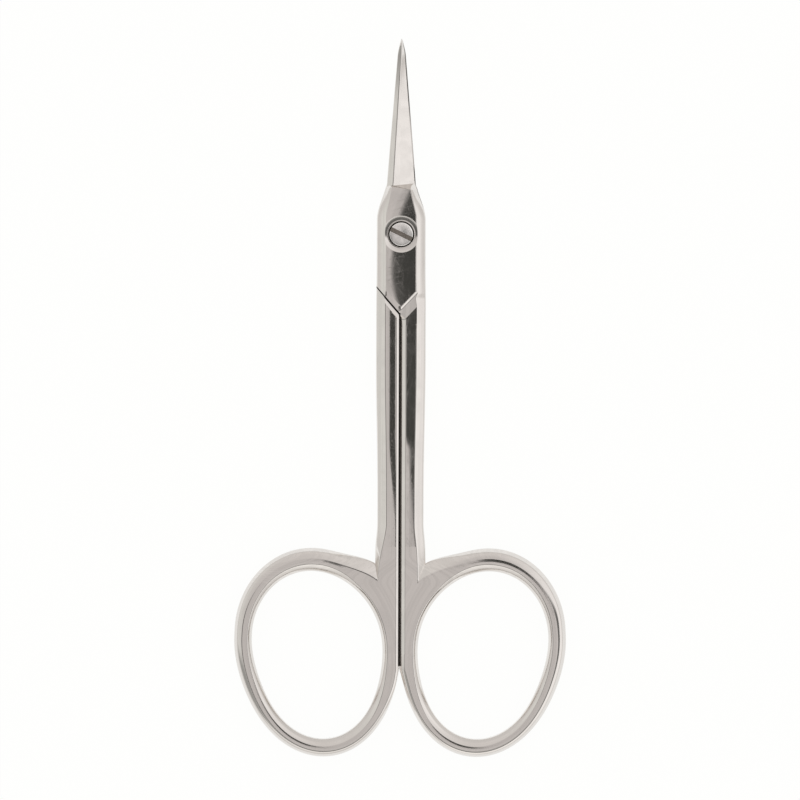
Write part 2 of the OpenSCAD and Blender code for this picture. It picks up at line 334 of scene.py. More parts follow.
def side_plane_d(x, y):
    """Height of the bevel along the side, which steps down from the box's to the shank's."""
    w, f = half_w(y), facet_hw(max(y, -FACET_TURN_Y))
    t = smooth(ramp(-y, *BEVEL_STEP_Y)) if x > 0 else 0
    box = BOX_D - BOX_BEVEL_H * (abs(x) - f) / (w - f)
    box += BOX_BEVEL_BULGE * math.sin(math.pi * ramp(abs(x), f, w))
    return mix(box, SHANK_D - SHANK_BEVEL_H * (1 - (w - abs(x)) / SHANK_BEVEL_W), t)


def inner_share(y):
    """0 to 1 where the bevel along the split comes up to its full width."""
    return smooth(ramp(-y, *INNER_BEVEL_Y))


def top_d(x, y):
    """Height of a half's top where the box comes to its point."""
    return min(BOX_D, side_plane_d(x, y), wedge_d(x, y))


def split_x(d):
    """Place of the leaning plane between the shanks at height d."""
    return SHANK_GAP / 2 - SPLIT_LEAN * d


# Cross-sections: 14 corners, each with the length by which its rounding sets back
def underside(w, xe):
    """The lap's or blade's inner face, from the left side to xe."""
    shares = (0, 0.45, 0.55, 0.65, 0.75, 1)
    return [(mix(-w, xe, u), LAP_D, 0.03) for u in shares]


def blade_section(y):
    """Inner face, edge, hollow face, ridge, strip and back of a blade."""
    w, t = half_w(y), tip_share(y)
    xe = w - min(EDGE_STEP, w / 4)
    ridge_d = LAP_D + mix(BLADE_T, BLADE_TIP_T, t)
    ridge_x = -w + min(mix(STRIP_W, STRIP_TIP_W, t), w * 0.9)
    edge, ridge = (xe, LAP_D + EDGE_T), (ridge_x, ridge_d)
    back = (-w, LAP_D + (ridge_d - LAP_D) * BACK_SHARE)
    sag = HOLLOW * (1 - t)
    face = [(p[0], p[1] - sag, 0.2) for p in spread(edge, ridge, 3)]
    strip = [(p[0], p[1], 0.1) for p in spread(ridge, back, 2)]
    ridge_round = mix(0.1, 0.26, smooth(ramp(t, 0.2, 0.7))) * mix(1, 0.6, t)
    return (underside(w, xe) + [(*edge, 0.02)] + face + [(*ridge, ridge_round)] + strip
            + [(*back, 0.14)])


def upper_corners(y):
    """Top of the lap from its right side to its left; its run of points is laid over them."""
    w, f = half_w(y), max(HAIR, facet_hw(y))
    third = (w - f) / 3
    top = [(x, top_d(x, y), 0.06) for x in (w - third, f + third, f, -f, -f - third, third - w)]
    return [(w, side_plane_d(w, y), 0.16)] + top + [(-w, side_plane_d(-w, y), 0.16)]


def lap_section(y):
    """The half's share of the box joint."""
    w = half_w(y)
    return underside(w, w) + upper_corners(y)


def lower_corners(x_in, outer_x, w, d):
    """Lower side of a shank, from its inner face at x_in to its outer side."""
    return [(x_in + INNER_EDGE_W, -d, 0.05), (outer_x, -d, 0.1), (w, SHANK_BEVEL_H - d, 0.2)]


def shoulder_section(y):
    """The lap and the start of the shank under it, before the shoulders are cut."""
    w, start = half_w(y), -LOWER_START_X
    return ([(-w, LAP_D, 0.03), (start, LAP_D, 0.03), (start, INNER_EDGE_H - SHANK_D, 0.05)]
            + lower_corners(start, w - SHANK_BEVEL_W, w, SHANK_D) + upper_corners(y))


def shank_section(y):
    """A shank, with its flats, its bevels and its leaning face along the split."""
    w, t = half_w(y), inner_share(y)
    end_x = split_x(SHANK_D - INNER_BEVEL_H)
    low_d, high_d = SHANK_D - INNER_EDGE_H, top_d(abs(end_x), y) - INNER_BEVEL_H * t
    corner_x = end_x + INNER_BEVEL_W * max(0.1, t)
    outer_x = w - SHANK_BEVEL_W
    flat = [(p[0], SHANK_D, 0.1) for p in spread((outer_x, 0), (corner_x, 0), 2)]
    corner, inner = (corner_x, top_d(corner_x, y)), (end_x, high_d)
    side = [(split_x(k), k, r) for k, r in ((high_d / 3, 0.1), (-low_d / 3, 0.1), (-low_d, 0.05))]
    bevel = [(p[0], p[1], 0.05) for p in spread(corner, inner, 2)]
    return (side + lower_corners(split_x(-SHANK_D), outer_x, w, SHANK_D)
            + [(w, SHANK_D - SHANK_BEVEL_H, 0.2), (outer_x, SHANK_D, 0.1)] + flat
            + [(*corner, 0.06)] + bevel + [(*inner, 0.06)])


SECTIONS = {BLADE: blade_section, LAP: lap_section, SHOULDER: shoulder_section, SHANK: shank_section}

# Points on each corner's arc, and between one corner's arc and the next one's. An arc takes no more
# than its share of a side.
ARC = 5
BETWEEN = (1, 1, 1, 17, 9, 9, 9, 1, 1, 5, 1, 1, 1, 1)
CORNER_AT = [i * ARC + sum(BETWEEN[:i]) for i in range(len(BETWEEN) + 1)]
COUNT = CORNER_AT[-1]
POINT_RUN = range(CORNER_AT[6] + ARC, CORNER_AT[13])
CREASE_ROUND = 0.05
ARC_SHARE = 0.44
HALVINGS = 24

# A ring of points falls into four runs: inner strip, lower flat, outer strip and upper flat
FLAT_COLUMNS = BETWEEN[3]
OUTER = range(CORNER_AT[4], CORNER_AT[7] + ARC)
LOWER_FLAT = range(CORNER_AT[3] + ARC, CORNER_AT[4])
UPPER_FLAT = range(CORNER_AT[7] + ARC, CORNER_AT[10])
INNER_RUN = list(range(CORNER_AT[10], COUNT)) + list(range(CORNER_AT[3] + ARC))
STRIP_BETWEEN = BETWEEN[10:] + BETWEEN[:3]
HOLE_BETWEEN = (2, 2, 3, 2, 2)

# Rows of points along the shank's end, the web's side of the opening, the band and its end
WEB_ROWS = 24
HOLE_WEB_ROWS = 34
BAND_ROWS = 184
MITRE_ROWS = 26
MITRE_START_A = 455


def rounded(corners, between, closed=True):
    """The outline through corners of (x, d, setback), with an arc at each and points in between.

    An open outline comes from the flat beside its first corner and ends on the one beside its last.
    """
    n = len(corners)
    place = [np.array(c[:2], float) for c in corners]
    arcs = []
    for i in range(n):
        before = place[i - 1] if closed or i else place[i] + (1, 0)
        after = place[(i + 1) % n] if closed or i < n - 1 else place[i] + (1, 0)
        backs = []
        for other in (before, after):
            way = other - place[i]
            length = max(float(np.linalg.norm(way)), 1e-9)
            backs.append(place[i] + way / length * min(corners[i][2], length * ARC_SHARE))
        arcs.append([
            backs[0] * (1 - s) ** 2 + place[i] * 2 * s * (1 - s) + backs[1] * s * s
            for s in np.linspace(0, 1, ARC)
        ])
    points = []
    for i in range(n):
        points += arcs[i]
        if closed or i < n - 1:
            points += spread(arcs[i][-1], arcs[(i + 1) % n][0], between[i])
    return np.array(points)


def crossing(rises, x0, x1):
    """Place between x0 and x1 where a value goes from below 0 to above it."""
    for _ in range(HALVINGS):
        middle = (x0 + x1) / 2
        x0, x1 = (middle, x1) if rises(middle) < 0 else (x0, middle)
    return (x0 + x1) / 2


def kept_apart(places):
    """Falling places, moved so that each is at least two hairs from the next."""
    for i in range(1, len(places) - 1):
        places[i] = min(places[i], places[i - 1] - 2 * HAIR)
    for i in reversed(range(len(places) - 1)):
        places[i] = max(places[i], places[i + 1] + 2 * HAIR)
    return places


def point_run(y, kind, start_x, stop_x):
    """Points (x, d) over the top round the facet's point, with columns along every crease."""
    line = (FACET_POINT_Y + y) / (FACET_POINT_Y - FACET_TURN_Y) * FACET_W / 2
    side_x = crossing(lambda x: min(BOX_D, wedge_d(x, y)) - side_plane_d(x, y), 0.5, start_x)
    end_x = split_x(SHANK_D - INNER_BEVEL_H)
    creases = (side_x, line + POINT_SLOPE_W, line + POINT_BEVEL_W)
    breaks = [start_x] + [min(side_x, v) for v in creases]
    if kind == SHANK:
        corner_x = end_x + INNER_BEVEL_W * max(0.1, inner_share(y))
        breaks = kept_apart([max(corner_x, x) for x in breaks] + [corner_x])
        counts = (9, 9, 9, 9)
    else:
        f = max(HAIR, facet_hw(y))
        breaks[-1] = max(breaks[-1], -2 * HAIR)
        breaks = kept_apart(breaks + [min(side_x, f), -f, stop_x])
        counts = (9, 9, 9, 9, 4, 9)
    run = []
    for a, b, count in zip(breaks, breaks[1:], counts):
        near = min(CREASE_ROUND, (a - b) / 3)
        steps = list(np.linspace(near, a - b - near, count - 1))
        first = [(a - b) / 8 if a == start_x else 0]
        run += [a - v for v in sorted(first + steps)]
    run = [(x, top_d(abs(x) if kind == SHANK else x, y)) for x in run]
    if kind == SHANK:
        corner = np.array((corner_x, top_d(corner_x, y)))
        inner = np.array((end_x, top_d(abs(end_x), y) - INNER_BEVEL_H * inner_share(y)))
        run += [tuple(corner + (inner - corner) * i / 16) for i in range(13)]
    return run


def pointed(y, kind):
    """Whether a section crosses the slopes round the facet's point."""
    return kind in (LAP, SHOULDER) or kind == SHANK and y > -PLAIN_SHANK_Y


def section(y, kind):
    """Ring of points (x, y, d) of one cross-section."""
    flat = rounded(SECTIONS[kind](y), BETWEEN)
    if pointed(y, kind):
        ends = flat[POINT_RUN.start - 1][0], flat[POINT_RUN.stop][0]
        flat[POINT_RUN.start:POINT_RUN.stop] = point_run(y, kind, *ends)
    places = np.full(len(flat), y)
    across = np.maximum(flat[:, 0], LEAN_LEFT_X)
    if kind == BLADE:
        places += GRIND_LEAN * across * ramp(y, GRIND_Y + 4, GRIND_Y)
    elif kind == LAP:
        places += STEP_LEAN * across * ramp(y, NECK_START_Y, GRIND_Y - STEP_RUN)
    return np.column_stack([flat[:, 0], places, flat[:, 1]])


def bar_stations():
    """Places of the cross-sections from the tip to where the ring's web begins."""
    tip = [(BLADE_L - TIP_ROUND * (i / 12) ** 2, BLADE) for i in range(13)]
    blade = [(mix(BLADE_L - TIP_ROUND, GRIND_Y, i / 44), BLADE) for i in range(1, 45)]
    neck = [(mix(GRIND_Y - STEP_RUN, NECK_START_Y, i / 16), LAP) for i in range(17)]
    box = [(mix(NECK_START_Y, -LOWER_START_Y, i / 18), LAP) for i in range(1, 19)]
    places = sorted(
        [LOWER_START_Y + HAIR, SHOULDER_SIDE_Y - HAIR]
        + [mix(SHOULDER_SIDE_Y + HAIR, SHOULDER_MID_Y, i / 44) for i in range(45)]
        + [FACET_TURN_Y, FACET_POINT_Y]
    )
    shoulder = [(-y, SHOULDER) for y in places]
    point = [(-mix(SHOULDER_MID_Y + HAIR, PLAIN_SHANK_Y - HAIR, i / 18), SHANK) for i in range(19)]
    shank = [(-mix(PLAIN_SHANK_Y + HAIR, WEB_START_Y, i / 46), SHANK) for i in range(47)]
    return tip + blade + neck + box + shoulder + point + shank


# Finger rings: a is the angle from the outward direction
def finger_r(a):
    """Radius of the finger opening."""
    la, wa, c = FINGER_L / 2, FINGER_W / 2, a + FINGER_LEAN - 90
    return la * wa / math.hypot(wa * cosd(c), la * sind(c)) + FINGER_BULGE * sind(3 * a)


def band_r(a):
    """Radius of the band's outer side, held back from the other ring."""
    r = finger_r(a) + BAND_W + BAND_EXTRA_W * max(0, cosd(a - 105))
    return min(r, (RING_X - SHANK_GAP / 2) / -cosd(a)) if cosd(a) < -0.1 else r


def ring_point(r, a, d):
    """The point at radius r and angle a from the ring's middle."""
    return np.array([RING_X + r * cosd(a), r * sind(a) - RING_Y, d])


def slope_share(a):
    """Share of the band's width that its outer slope takes, by the angle round the ring."""
    return 0.37 + 0.06 * cosd(a) + 0.09 * sind(a)


def band_share(a):
    """0 where the ring is flat like the shank and 1 where its band has a rounded crest."""
    b = a % 360
    return smooth(ramp(b, WEB_END_A, 90)) if b < 180 else smooth(ramp(b, *CREST_START_A))


def sink(a):
    """How far the band's crests lie under the flats, by the angle round the ring."""
    b = a % 360
    share = smooth(ramp(b, 100, 30)) if b < 180 else smooth(ramp(b, 200, 250))
    return CREST_SINK * share


def band_corners(a):
    """The outer side of the band: corners of (distance inwards, d, setback) from top to bottom."""
    width = band_r(a) - finger_r(a)
    high = SHANK_D - sink(a)
    crest = slope_share(a) * width
    split = [(INNER_BEVEL_W, high), (INNER_BEVEL_W * 2 / 3, high - INNER_BEVEL_H / 3),
             (INNER_BEVEL_W / 3, high - INNER_BEVEL_H * 2 / 3), (0, high - INNER_BEVEL_H),
             (0, high / 4), (0, -high / 4), (0, INNER_EDGE_H - high), (INNER_EDGE_W, -high)]
    band = [(crest, high), (0.66 * crest, 0.93 * high), (0.4 * crest, 0.8 * high), (0, 0.36 * high),
            (0, 0.05 * high), (0, -0.36 * high), (0.4 * crest, -0.8 * high), (crest, -high)]
    rounding = (0.09, 0.2, 0.25, 0.3, 0.2, 0.3, 0.25, 0.09)
    lean = SPLIT_LEAN * (1 - smooth(ramp(a, *LEAN_END_A)))
    split = [(v - lean * d, d) for v, d in split]
    done = smooth(ramp(a, *CREST_START_A))
    return [(mix(p[0], q[0], done), mix(p[1], q[1], done), mix(0.06, r, done))
            for p, q, r in zip(split, band, rounding)]


def band_row(a):
    """The band's outer side at one angle."""
    profile = rounded(band_corners(a), STRIP_BETWEEN, False)
    return [ring_point(band_r(a) - v, a, d) for v, d in profile]


def hole_row(a):
    """The side of the finger opening, from the top crest or flat to the lower one."""
    width = band_r(a) - finger_r(a)
    bevel = mix(HOLE_BEVEL_W, (1 - slope_share(a)) * width - CREST_W, band_share(a))
    high = SHANK_D - sink(a)
    corners = [(bevel, high, 0.07), (0.5 * bevel, 0.8 * high, 0.14), (0, 0.5 * high, 0.16)]
    corners += [(u, -d, r) for u, d, r in reversed(corners)]
    return [ring_point(finger_r(a) + u, a, d) for u, d in rounded(corners, HOLE_BETWEEN, False)]


# The skin of one half
class Skin:
    """Points and four-sided faces, each face with the number of its material."""

    def __init__(self):
        self.points = []
        self.faces = []
        self.slots = []

    def row(self, points):
        start = len(self.points)
        self.points += [tuple(p) for p in points]
        return list(range(start, len(self.points)))

    def between(self, a, b, count, bulge=0):
        """A row of count points between two points that are there, raised by bulge in the middle."""
        a, b = np.array(self.points[a]), np.array(self.points[b])
        shares = [(i + 1) / (count + 1) for i in range(count)]
        return self.row([a + (b - a) * s + np.array([0, 0, 4 * s * (1 - s) * bulge]) for s in shares])

    def joined(self, a, b, bulge=0):
        """The row from point a to point b, with a flat's columns between them."""
        return [a] + self.between(a, b, FLAT_COLUMNS, bulge) + [b]

    def bridge(self, a, b, slots):
        """Faces between two rows; slots is one material's number or a list with one for each face."""
        for i in range(len(a) - 1):
            self.faces.append((a[i], a[i + 1], b[i + 1], b[i]))
            self.slots.append(slots if isinstance(slots, int) else slots[i])


# Corners and edges of each kind of section that have another finish than the polish
FINISHES = {
    BLADE: ((GRIND, (6, 7, 8, 9), (7, 8, 9)),),
    LAP: ((GRIND, (0, 1, 2, 3, 4), (1, 2, 3, 4)),),
    SHOULDER: ((INNER, (0, 1), (0, 1)), (FLAT, (3,), ())),
    SHANK: ((FLAT, (3, 7, 8, 9), (8, 9)), (INNER, (13, 0, 1), (0, 1))),
}

# The same for the columns of a run round the facet's point
POINT_FINISHES = {
    LAP: ((FACET, 36, 40),),
    SHOULDER: ((FACET, 36, 40), (FLAT, 9, 18)),
    SHANK: ((FLAT, 9, 18),),
}


def column_slots(y, kind):
    """The material's number for each face round a section."""
    slots = []
    for c in range(COUNT):
        corner = max(i for i in range(len(BETWEEN)) if CORNER_AT[i] <= c)
        on_arc = c - CORNER_AT[corner] < ARC - 1
        found = [slot for slot, edges, arcs in FINISHES[kind] if corner in (arcs if on_arc else edges)]
        slots.append(found[0] if found else POLISH)
    if pointed(y, kind):
        for i, c in enumerate(POINT_RUN):
            found = [slot for slot, start, stop in POINT_FINISHES[kind] if start <= i < stop]
            slots[c] = found[0] if found else POLISH
    return slots


def pick(ring, run):
    """The items of a ring at the places of a run."""
    return [ring[i] for i in run]


def mitre_points(strip):
    """The valley at the crotch, from a row of the shank's outer side at the crotch's height."""
    points = []
    for p in strip:
        end = VALLEY_END_TOP if p[2] > 0 else VALLEY_END_BOTTOM
        share = (half_w(p[1]) - p[0]) / SHANK_BEVEL_W
        x, y = (mix(CROTCH[i], end[i], share) for i in (0, 1))
        points.append(np.array([x, y, p[2]]))
    return points


def shank_end_rows(skin, last_ring, mitre):
    """Rows of the shank's outer side, which slant more and more until they lie along the valley."""
    rows = [pick(last_ring, OUTER)]
    profile = [np.array(skin.points[i]) for i in rows[0]]
    for j in range(1, WEB_ROWS):
        t = j / WEB_ROWS
        points = []
        for p, m in zip(profile, mitre):
            y = mix(p[1], m[1], t)
            x = mix(half_w(y) - (half_w(p[1]) - p[0]), m[0], smooth(t))
            points.append((x, y, mix(p[2], m[2], smooth(t))))
        rows.append(skin.row(points))
    rows.append(skin.row(mitre))
    return rows


def band_end_rows(skin, mitre_row):
    """Rows of the band's outer side, which turn from the ring's radius into the same valley."""
    ends = []
    for i in mitre_row:
        x, y, d = skin.points[i]
        from_x, from_y = x - RING_X, y + RING_Y
        ends.append((360 + math.degrees(math.atan2(from_y, from_x)), math.hypot(from_x, from_y), d))
    rows = []
    for j in range(1, MITRE_ROWS):
        t = j / MITRE_ROWS
        profile = rounded(band_corners(mix(MITRE_START_A, ends[0][0], t)), STRIP_BETWEEN, False)
        points = []
        for (v, d), (end_a, end_r, end_d) in zip(profile, ends):
            a = mix(MITRE_START_A, end_a, t)
            r = mix(band_r(a) - v, end_r, smooth(t))
            points.append(ring_point(r, a, mix(d, end_d, smooth(t))))
        rows.append(skin.row(points))
    return rows + [mitre_row]


def bar(skin):
    """Blade, lap and shank from the tip to the web; gives the last ring of points."""
    stations = bar_stations()
    rings = [skin.row(section(y, kind)) for y, kind in stations]
    for a, b, (y, kind) in zip(rings, rings[1:], stations[1:]):
        skin.bridge(a + a[:1], b + b[:1], column_slots(y, kind))
    skin.faces.append(tuple(reversed(rings[0])))
    skin.slots.append(POLISH)
    return rings[-1]


def opening_side(skin, angles):
    """The side of the finger opening, all the way round, as a row for each angle."""
    rows = [skin.row(hole_row(a)) for a in angles]
    for a, b in zip(rows, rows[1:] + rows[:1]):
        skin.bridge(a, b, POLISH)
    return rows


def web(skin, last_ring, tops, lows, strip_slots):
    """The web from the split to its ends on the right; gives its last strip and two rows of flat."""
    strip = pick(last_ring, INNER_RUN)
    upper = [tops[0]] + pick(last_ring, UPPER_FLAT) + [strip[0]]
    lower = [strip[-1]] + pick(last_ring, LOWER_FLAT) + [lows[0]]
    for j in range(1, len(tops)):
        y = skin.points[tops[j]][1] if j < len(tops) - 1 else -RING_Y
        new_strip = skin.row(pick(section(y, SHANK), INNER_RUN))
        new_upper = skin.joined(tops[j], new_strip[0])
        new_lower = skin.joined(new_strip[-1], lows[j])
        skin.bridge(strip, new_strip, strip_slots)
        skin.bridge(upper, new_upper, FLAT)
        skin.bridge(lower, new_lower, FLAT)
        strip, upper, lower = new_strip, new_upper, new_lower
    return strip, upper, lower


def band(skin, rows, holes, angles, web_end, crest_ends, strip_slots):
    """The band from the web round the bottom and the outer side to where its crests end."""
    strip, top, low = web_end
    for j, row in enumerate(rows):
        new_top, new_low = crest_ends
        if j < len(angles):
            width = math.dist(skin.points[row[0]], skin.points[holes[j][0]])
            bulge = CREST_BULGE * band_share(angles[j]) * min(1, CREST_W / width) ** 2
            new_top = skin.joined(row[0], holes[j][0], bulge)
            new_low = skin.joined(row[-1], holes[j][-1], -bulge)
        parting = angles[min(j, len(angles) - 1)] < PARTING_A
        skin.bridge(strip, row, strip_slots if parting else POLISH)
        skin.bridge(top, new_top, POLISH)
        skin.bridge(low, new_low, POLISH)
        strip, top, low = row, new_top, new_low


def half_skin():
    """Blade, lap, shank and ring of a half, without its shoulders and holes."""
    skin = Skin()
    last_ring = bar(skin)
    strip_slots = pick(column_slots(-WEB_START_Y, SHANK), INNER_RUN[:-1])
    at_crotch = pick(section(CROTCH[1], SHANK), OUTER)
    shank_rows = shank_end_rows(skin, last_ring, mitre_points(at_crotch))
    for a, b in zip(shank_rows, shank_rows[1:]):
        skin.bridge(a, b, POLISH)
    mitre_row = shank_rows[-1]

    web_angles = [mix(WEB_END_A, 180, i / HOLE_WEB_ROWS) for i in range(HOLE_WEB_ROWS + 1)]
    band_angles = [mix(180, MITRE_START_A, i / BAND_ROWS) for i in range(1, BAND_ROWS + 1)]
    end_angles = [mix(MITRE_START_A, WEB_END_A + 360, i / MITRE_ROWS) for i in range(1, MITRE_ROWS)]
    holes = opening_side(skin, web_angles + band_angles + end_angles)
    web_holes, band_holes = holes[:len(web_angles)], holes[len(web_angles):]

    # Where the band's crests end on the web
    end_top = skin.joined(mitre_row[-1], web_holes[0][0])
    end_low = skin.joined(mitre_row[0], web_holes[0][-1])
    tops = [r[-1] for r in shank_rows] + end_top[1:] + [h[0] for h in web_holes[1:]]
    lows = [r[0] for r in shank_rows] + end_low[1:] + [h[-1] for h in web_holes[1:]]
    strip, upper, lower = web(skin, last_ring, tops, lows, strip_slots)

    band_rows = [skin.row(band_row(a)) for a in band_angles]
    band_rows += band_end_rows(skin, mitre_row[::-1])
    band(skin, band_rows, band_holes, band_angles + end_angles, (strip, upper[::-1], lower),
         (end_top, end_low), strip_slots)
    return skin


def placed(points, side):
    """Points of a half in the part's frame: side is 1 for the front half and -1 for the rear half."""
    return [(side * x, y, MID_Z + rise(y) + side * d) for x, y, d in points]


def face_outwards(mesh):
    """Turns the faces of a closed mesh so that they point out of it."""
    shape = bmesh.new()
    shape.from_mesh(mesh)
    bmesh.ops.recalc_face_normals(shape, faces=shape.faces)
    shape.to_mesh(mesh)
    shape.free()


def linked(name, mesh):
    """An object in the scene that shows the mesh."""
    obj = bpy.data.objects.new(name, mesh)
    bpy.context.scene.collection.objects.link(obj)
    return obj


def mesh_object(name, points, faces, slots=None):
    """An object from points and faces, with the number of each face's material."""
    mesh = bpy.data.meshes.new(name)
    mesh.from_pydata(points, [], faces)
    if slots is not None:
        mesh.polygons.foreach_set("material_index", slots)
    obj = linked(name, mesh)
    face_outwards(mesh)
    return obj


# What is cut out of the halves
def prism(name, outline, low, high, side, slot):
    """A straight cutter over an outline of (x, y), from low to high above the middle plane."""
    n = len(outline)
    points = [(side * x, y, MID_Z + side * d) for d in (low, high) for x, y in outline]
    faces = [tuple(range(n)), tuple(range(n, 2 * n))]
    faces += [(i, (i + 1) % n, n + (i + 1) % n, n + i) for i in range(n)]
    return mesh_object(name, points, faces, [slot] * len(faces))


def lathe(name, profile, slots, segments=128):
    """A round cutter about the pivot's axis, through points of (radius, z), with a slot for each band."""
    points = []
    for r, z in profile:
        for i in range(segments):
            points.append((r * cosd(360 * i / segments), r * sind(360 * i / segments), z))
    last = (len(profile) - 1) * segments
    faces = [tuple(range(segments)), tuple(range(last, last + segments))]
    for j in range(len(profile) - 1):
        for i in range(segments):
            a, b = j * segments + i, j * segments + (i + 1) % segments
            faces.append((a, b, b + segments, a + segments))
    bands = [slots[j] for j in range(len(profile) - 1) for i in range(segments)]
    return mesh_object(name, points, faces, [slots[0], slots[-1]] + bands)


def shoulder_line(x_mid, gap):
    """Two points of the slanting line from the middle to past the side of the box."""
    slope = (SHOULDER_MID_Y - SHOULDER_SIDE_Y) / (BOX_W / 2 - x_mid)
    return (BOX_W, -SHOULDER_MID_Y - gap + slope * (BOX_W - x_mid)), (x_mid, -SHOULDER_MID_Y - gap)


def lap_cutter(side):
    """Everything beyond the lap's shoulder, which is the other half's shank."""
    outer, mid = shoulder_line(-split_x(SHANK_D), 0)
    below = -SHOULDER_MID_Y - 2 * HAIR
    outline = [(-outer[0], outer[1]), (-mid[0], mid[1]), (-mid[0], below), (-outer[0], below)]
    return prism("lap_cutter", outline, -BOX_T, BOX_T, side, INNER)


def shank_cutter(side):
    """Everything inside the shank's shoulder, up to the lap's plane."""
    outer, mid = shoulder_line(split_x(-SHANK_D), SHOULDER_GAP)
    outline = [outer, mid, (-BOX_W, mid[1]), (-BOX_W, 0), (BOX_W, 0)]
    return prism("shank_cutter", outline, -BOX_T, LAP_D - HAIR / 20, side, INNER)


def shoulder_chamfer(side):
    """The bevel along the edge of the shank's shoulder."""
    outer, mid = (np.array(p) for p in shoulder_line(split_x(-SHANK_D), SHOULDER_GAP))
    along = (outer - mid) / np.linalg.norm(outer - mid)
    inwards = np.array([along[1], -along[0]])
    fall = CHAMFER_H / CHAMFER_W
    over = 2 * CHAMFER_W
    corners = [(-over, -SHANK_D + CHAMFER_H + over * fall), (-over, -SHANK_D - over),
               (CHAMFER_W + over / fall, -SHANK_D - over)]
    ends = (mid - along * CHAMFER_RUN_IN, outer)
    points = [tuple(e + inwards * s) + (d,) for e in ends for s, d in corners]
    faces = [(0, 1, 2), (3, 4, 5), (0, 1, 4, 3), (1, 2, 5, 4), (2, 0, 3, 5)]
    points = [(side * x, y, MID_Z + side * d) for x, y, d in points]
    return mesh_object("chamfer_cutter", points, faces, [POLISH] * len(faces))


def head_seat_cutter():
    """Dish, rim, counterbore and bore in the front half."""
    hole_r = HEAD_D / 2 + HEAD_GAP
    rim_z, dish_r = BOX_T - DISH_DEPTH, DISH_D / 2
    bore_r = JOURNAL_D / 2 + JOURNAL_GAP
    floor_z = BOX_T - COUNTERBORE_DEPTH
    run = dish_r - hole_r - RIM_W
    profile = [(bore_r, -1), (bore_r, floor_z - 0.05), (bore_r + 0.05, floor_z), (hole_r, floor_z),
               (hole_r, rim_z - 0.03), (hole_r + 0.03, rim_z), (hole_r + RIM_W, rim_z)]
    for i in range(1, 8):
        t = i / 7
        profile.append((hole_r + RIM_W + run * t, rim_z + DISH_DEPTH * t ** 1.25))
    profile += [(dish_r + 0.4 * run, BOX_T + 0.5 * DISH_DEPTH), (dish_r + 0.4 * run, BOX_T + 1)]
    return lathe("head_seat_cutter", profile, [INNER] * 4 + [TURNED] * (len(profile) - 5))


def tapped_hole_cutter():
    """Hole for the screw's thread in the rear half, and the countersink at its back."""
    hole_r = THREAD_D / 2 - THREAD_BITE
    outer_r = RIVET_D - THREAD_BITE - THREAD_D / 2
    profile = [(outer_r, -RIVET_H), (hole_r, RIVET_H), (hole_r, BOX_T + 1)]
    return lathe("tapped_hole_cutter", profile, [TURNED, INNER])


def baked(obj):
    """The object with its modifiers carried out, as a plain mesh."""
    bpy.context.view_layer.update()
    shape = obj.evaluated_get(bpy.context.evaluated_depsgraph_get())
    mesh = bpy.data.meshes.new_from_object(shape)
    obj.modifiers.clear()
    obj.data = mesh
    return obj


def cut(obj, cutters):
    """Takes the cutters out of the object and throws them away."""
    for cutter in cutters:
        difference = obj.modifiers.new(cutter.name, "BOOLEAN")
        difference.operation = "DIFFERENCE"
        difference.solver = "EXACT"
        difference.material_mode = "INDEX"
        difference.object = cutter
    baked(obj)
    for cutter in cutters:
        bpy.data.objects.remove(cutter)
    return obj


def crisp_rims(mesh):
    """Marks the edges between a turned surface and the others as sharp."""
    shape = bmesh.new()
    shape.from_mesh(mesh)
    for edge in shape.edges:
        kinds = {face.material_index for face in edge.link_faces}
        if TURNED in kinds and len(kinds) > 1:
            edge.smooth = False
    shape.to_mesh(mesh)
    shape.free()


def dressed(obj, materials, crease=28):
    """Scales a mesh from millimetres, shades it and gives it its materials."""
    obj.data.transform(Matrix.Scale(MM, 4))
    for slot, material in enumerate(materials):
        obj.data.materials[slot] = material
    obj.data.shade_smooth()
    obj.data.set_sharp_from_angle(angle=math.radians(crease))
    crisp_rims(obj.data)
    weighted = obj.modifiers.new("weighted", "WEIGHTED_NORMAL")
    weighted.keep_sharp = True
    return baked(obj)


def make_half(name, side, holes, materials):
    """One half: its skin, less its shoulders and holes, in its steels."""
    skin = half_skin()
    obj = mesh_object(name, placed(skin.points, side), skin.faces, skin.slots)
    for _ in materials:
        obj.data.materials.append(None)
    cut(obj, [lap_cutter(side), shank_cutter(side), shoulder_chamfer(side)] + holes)
    return dressed(obj, materials)


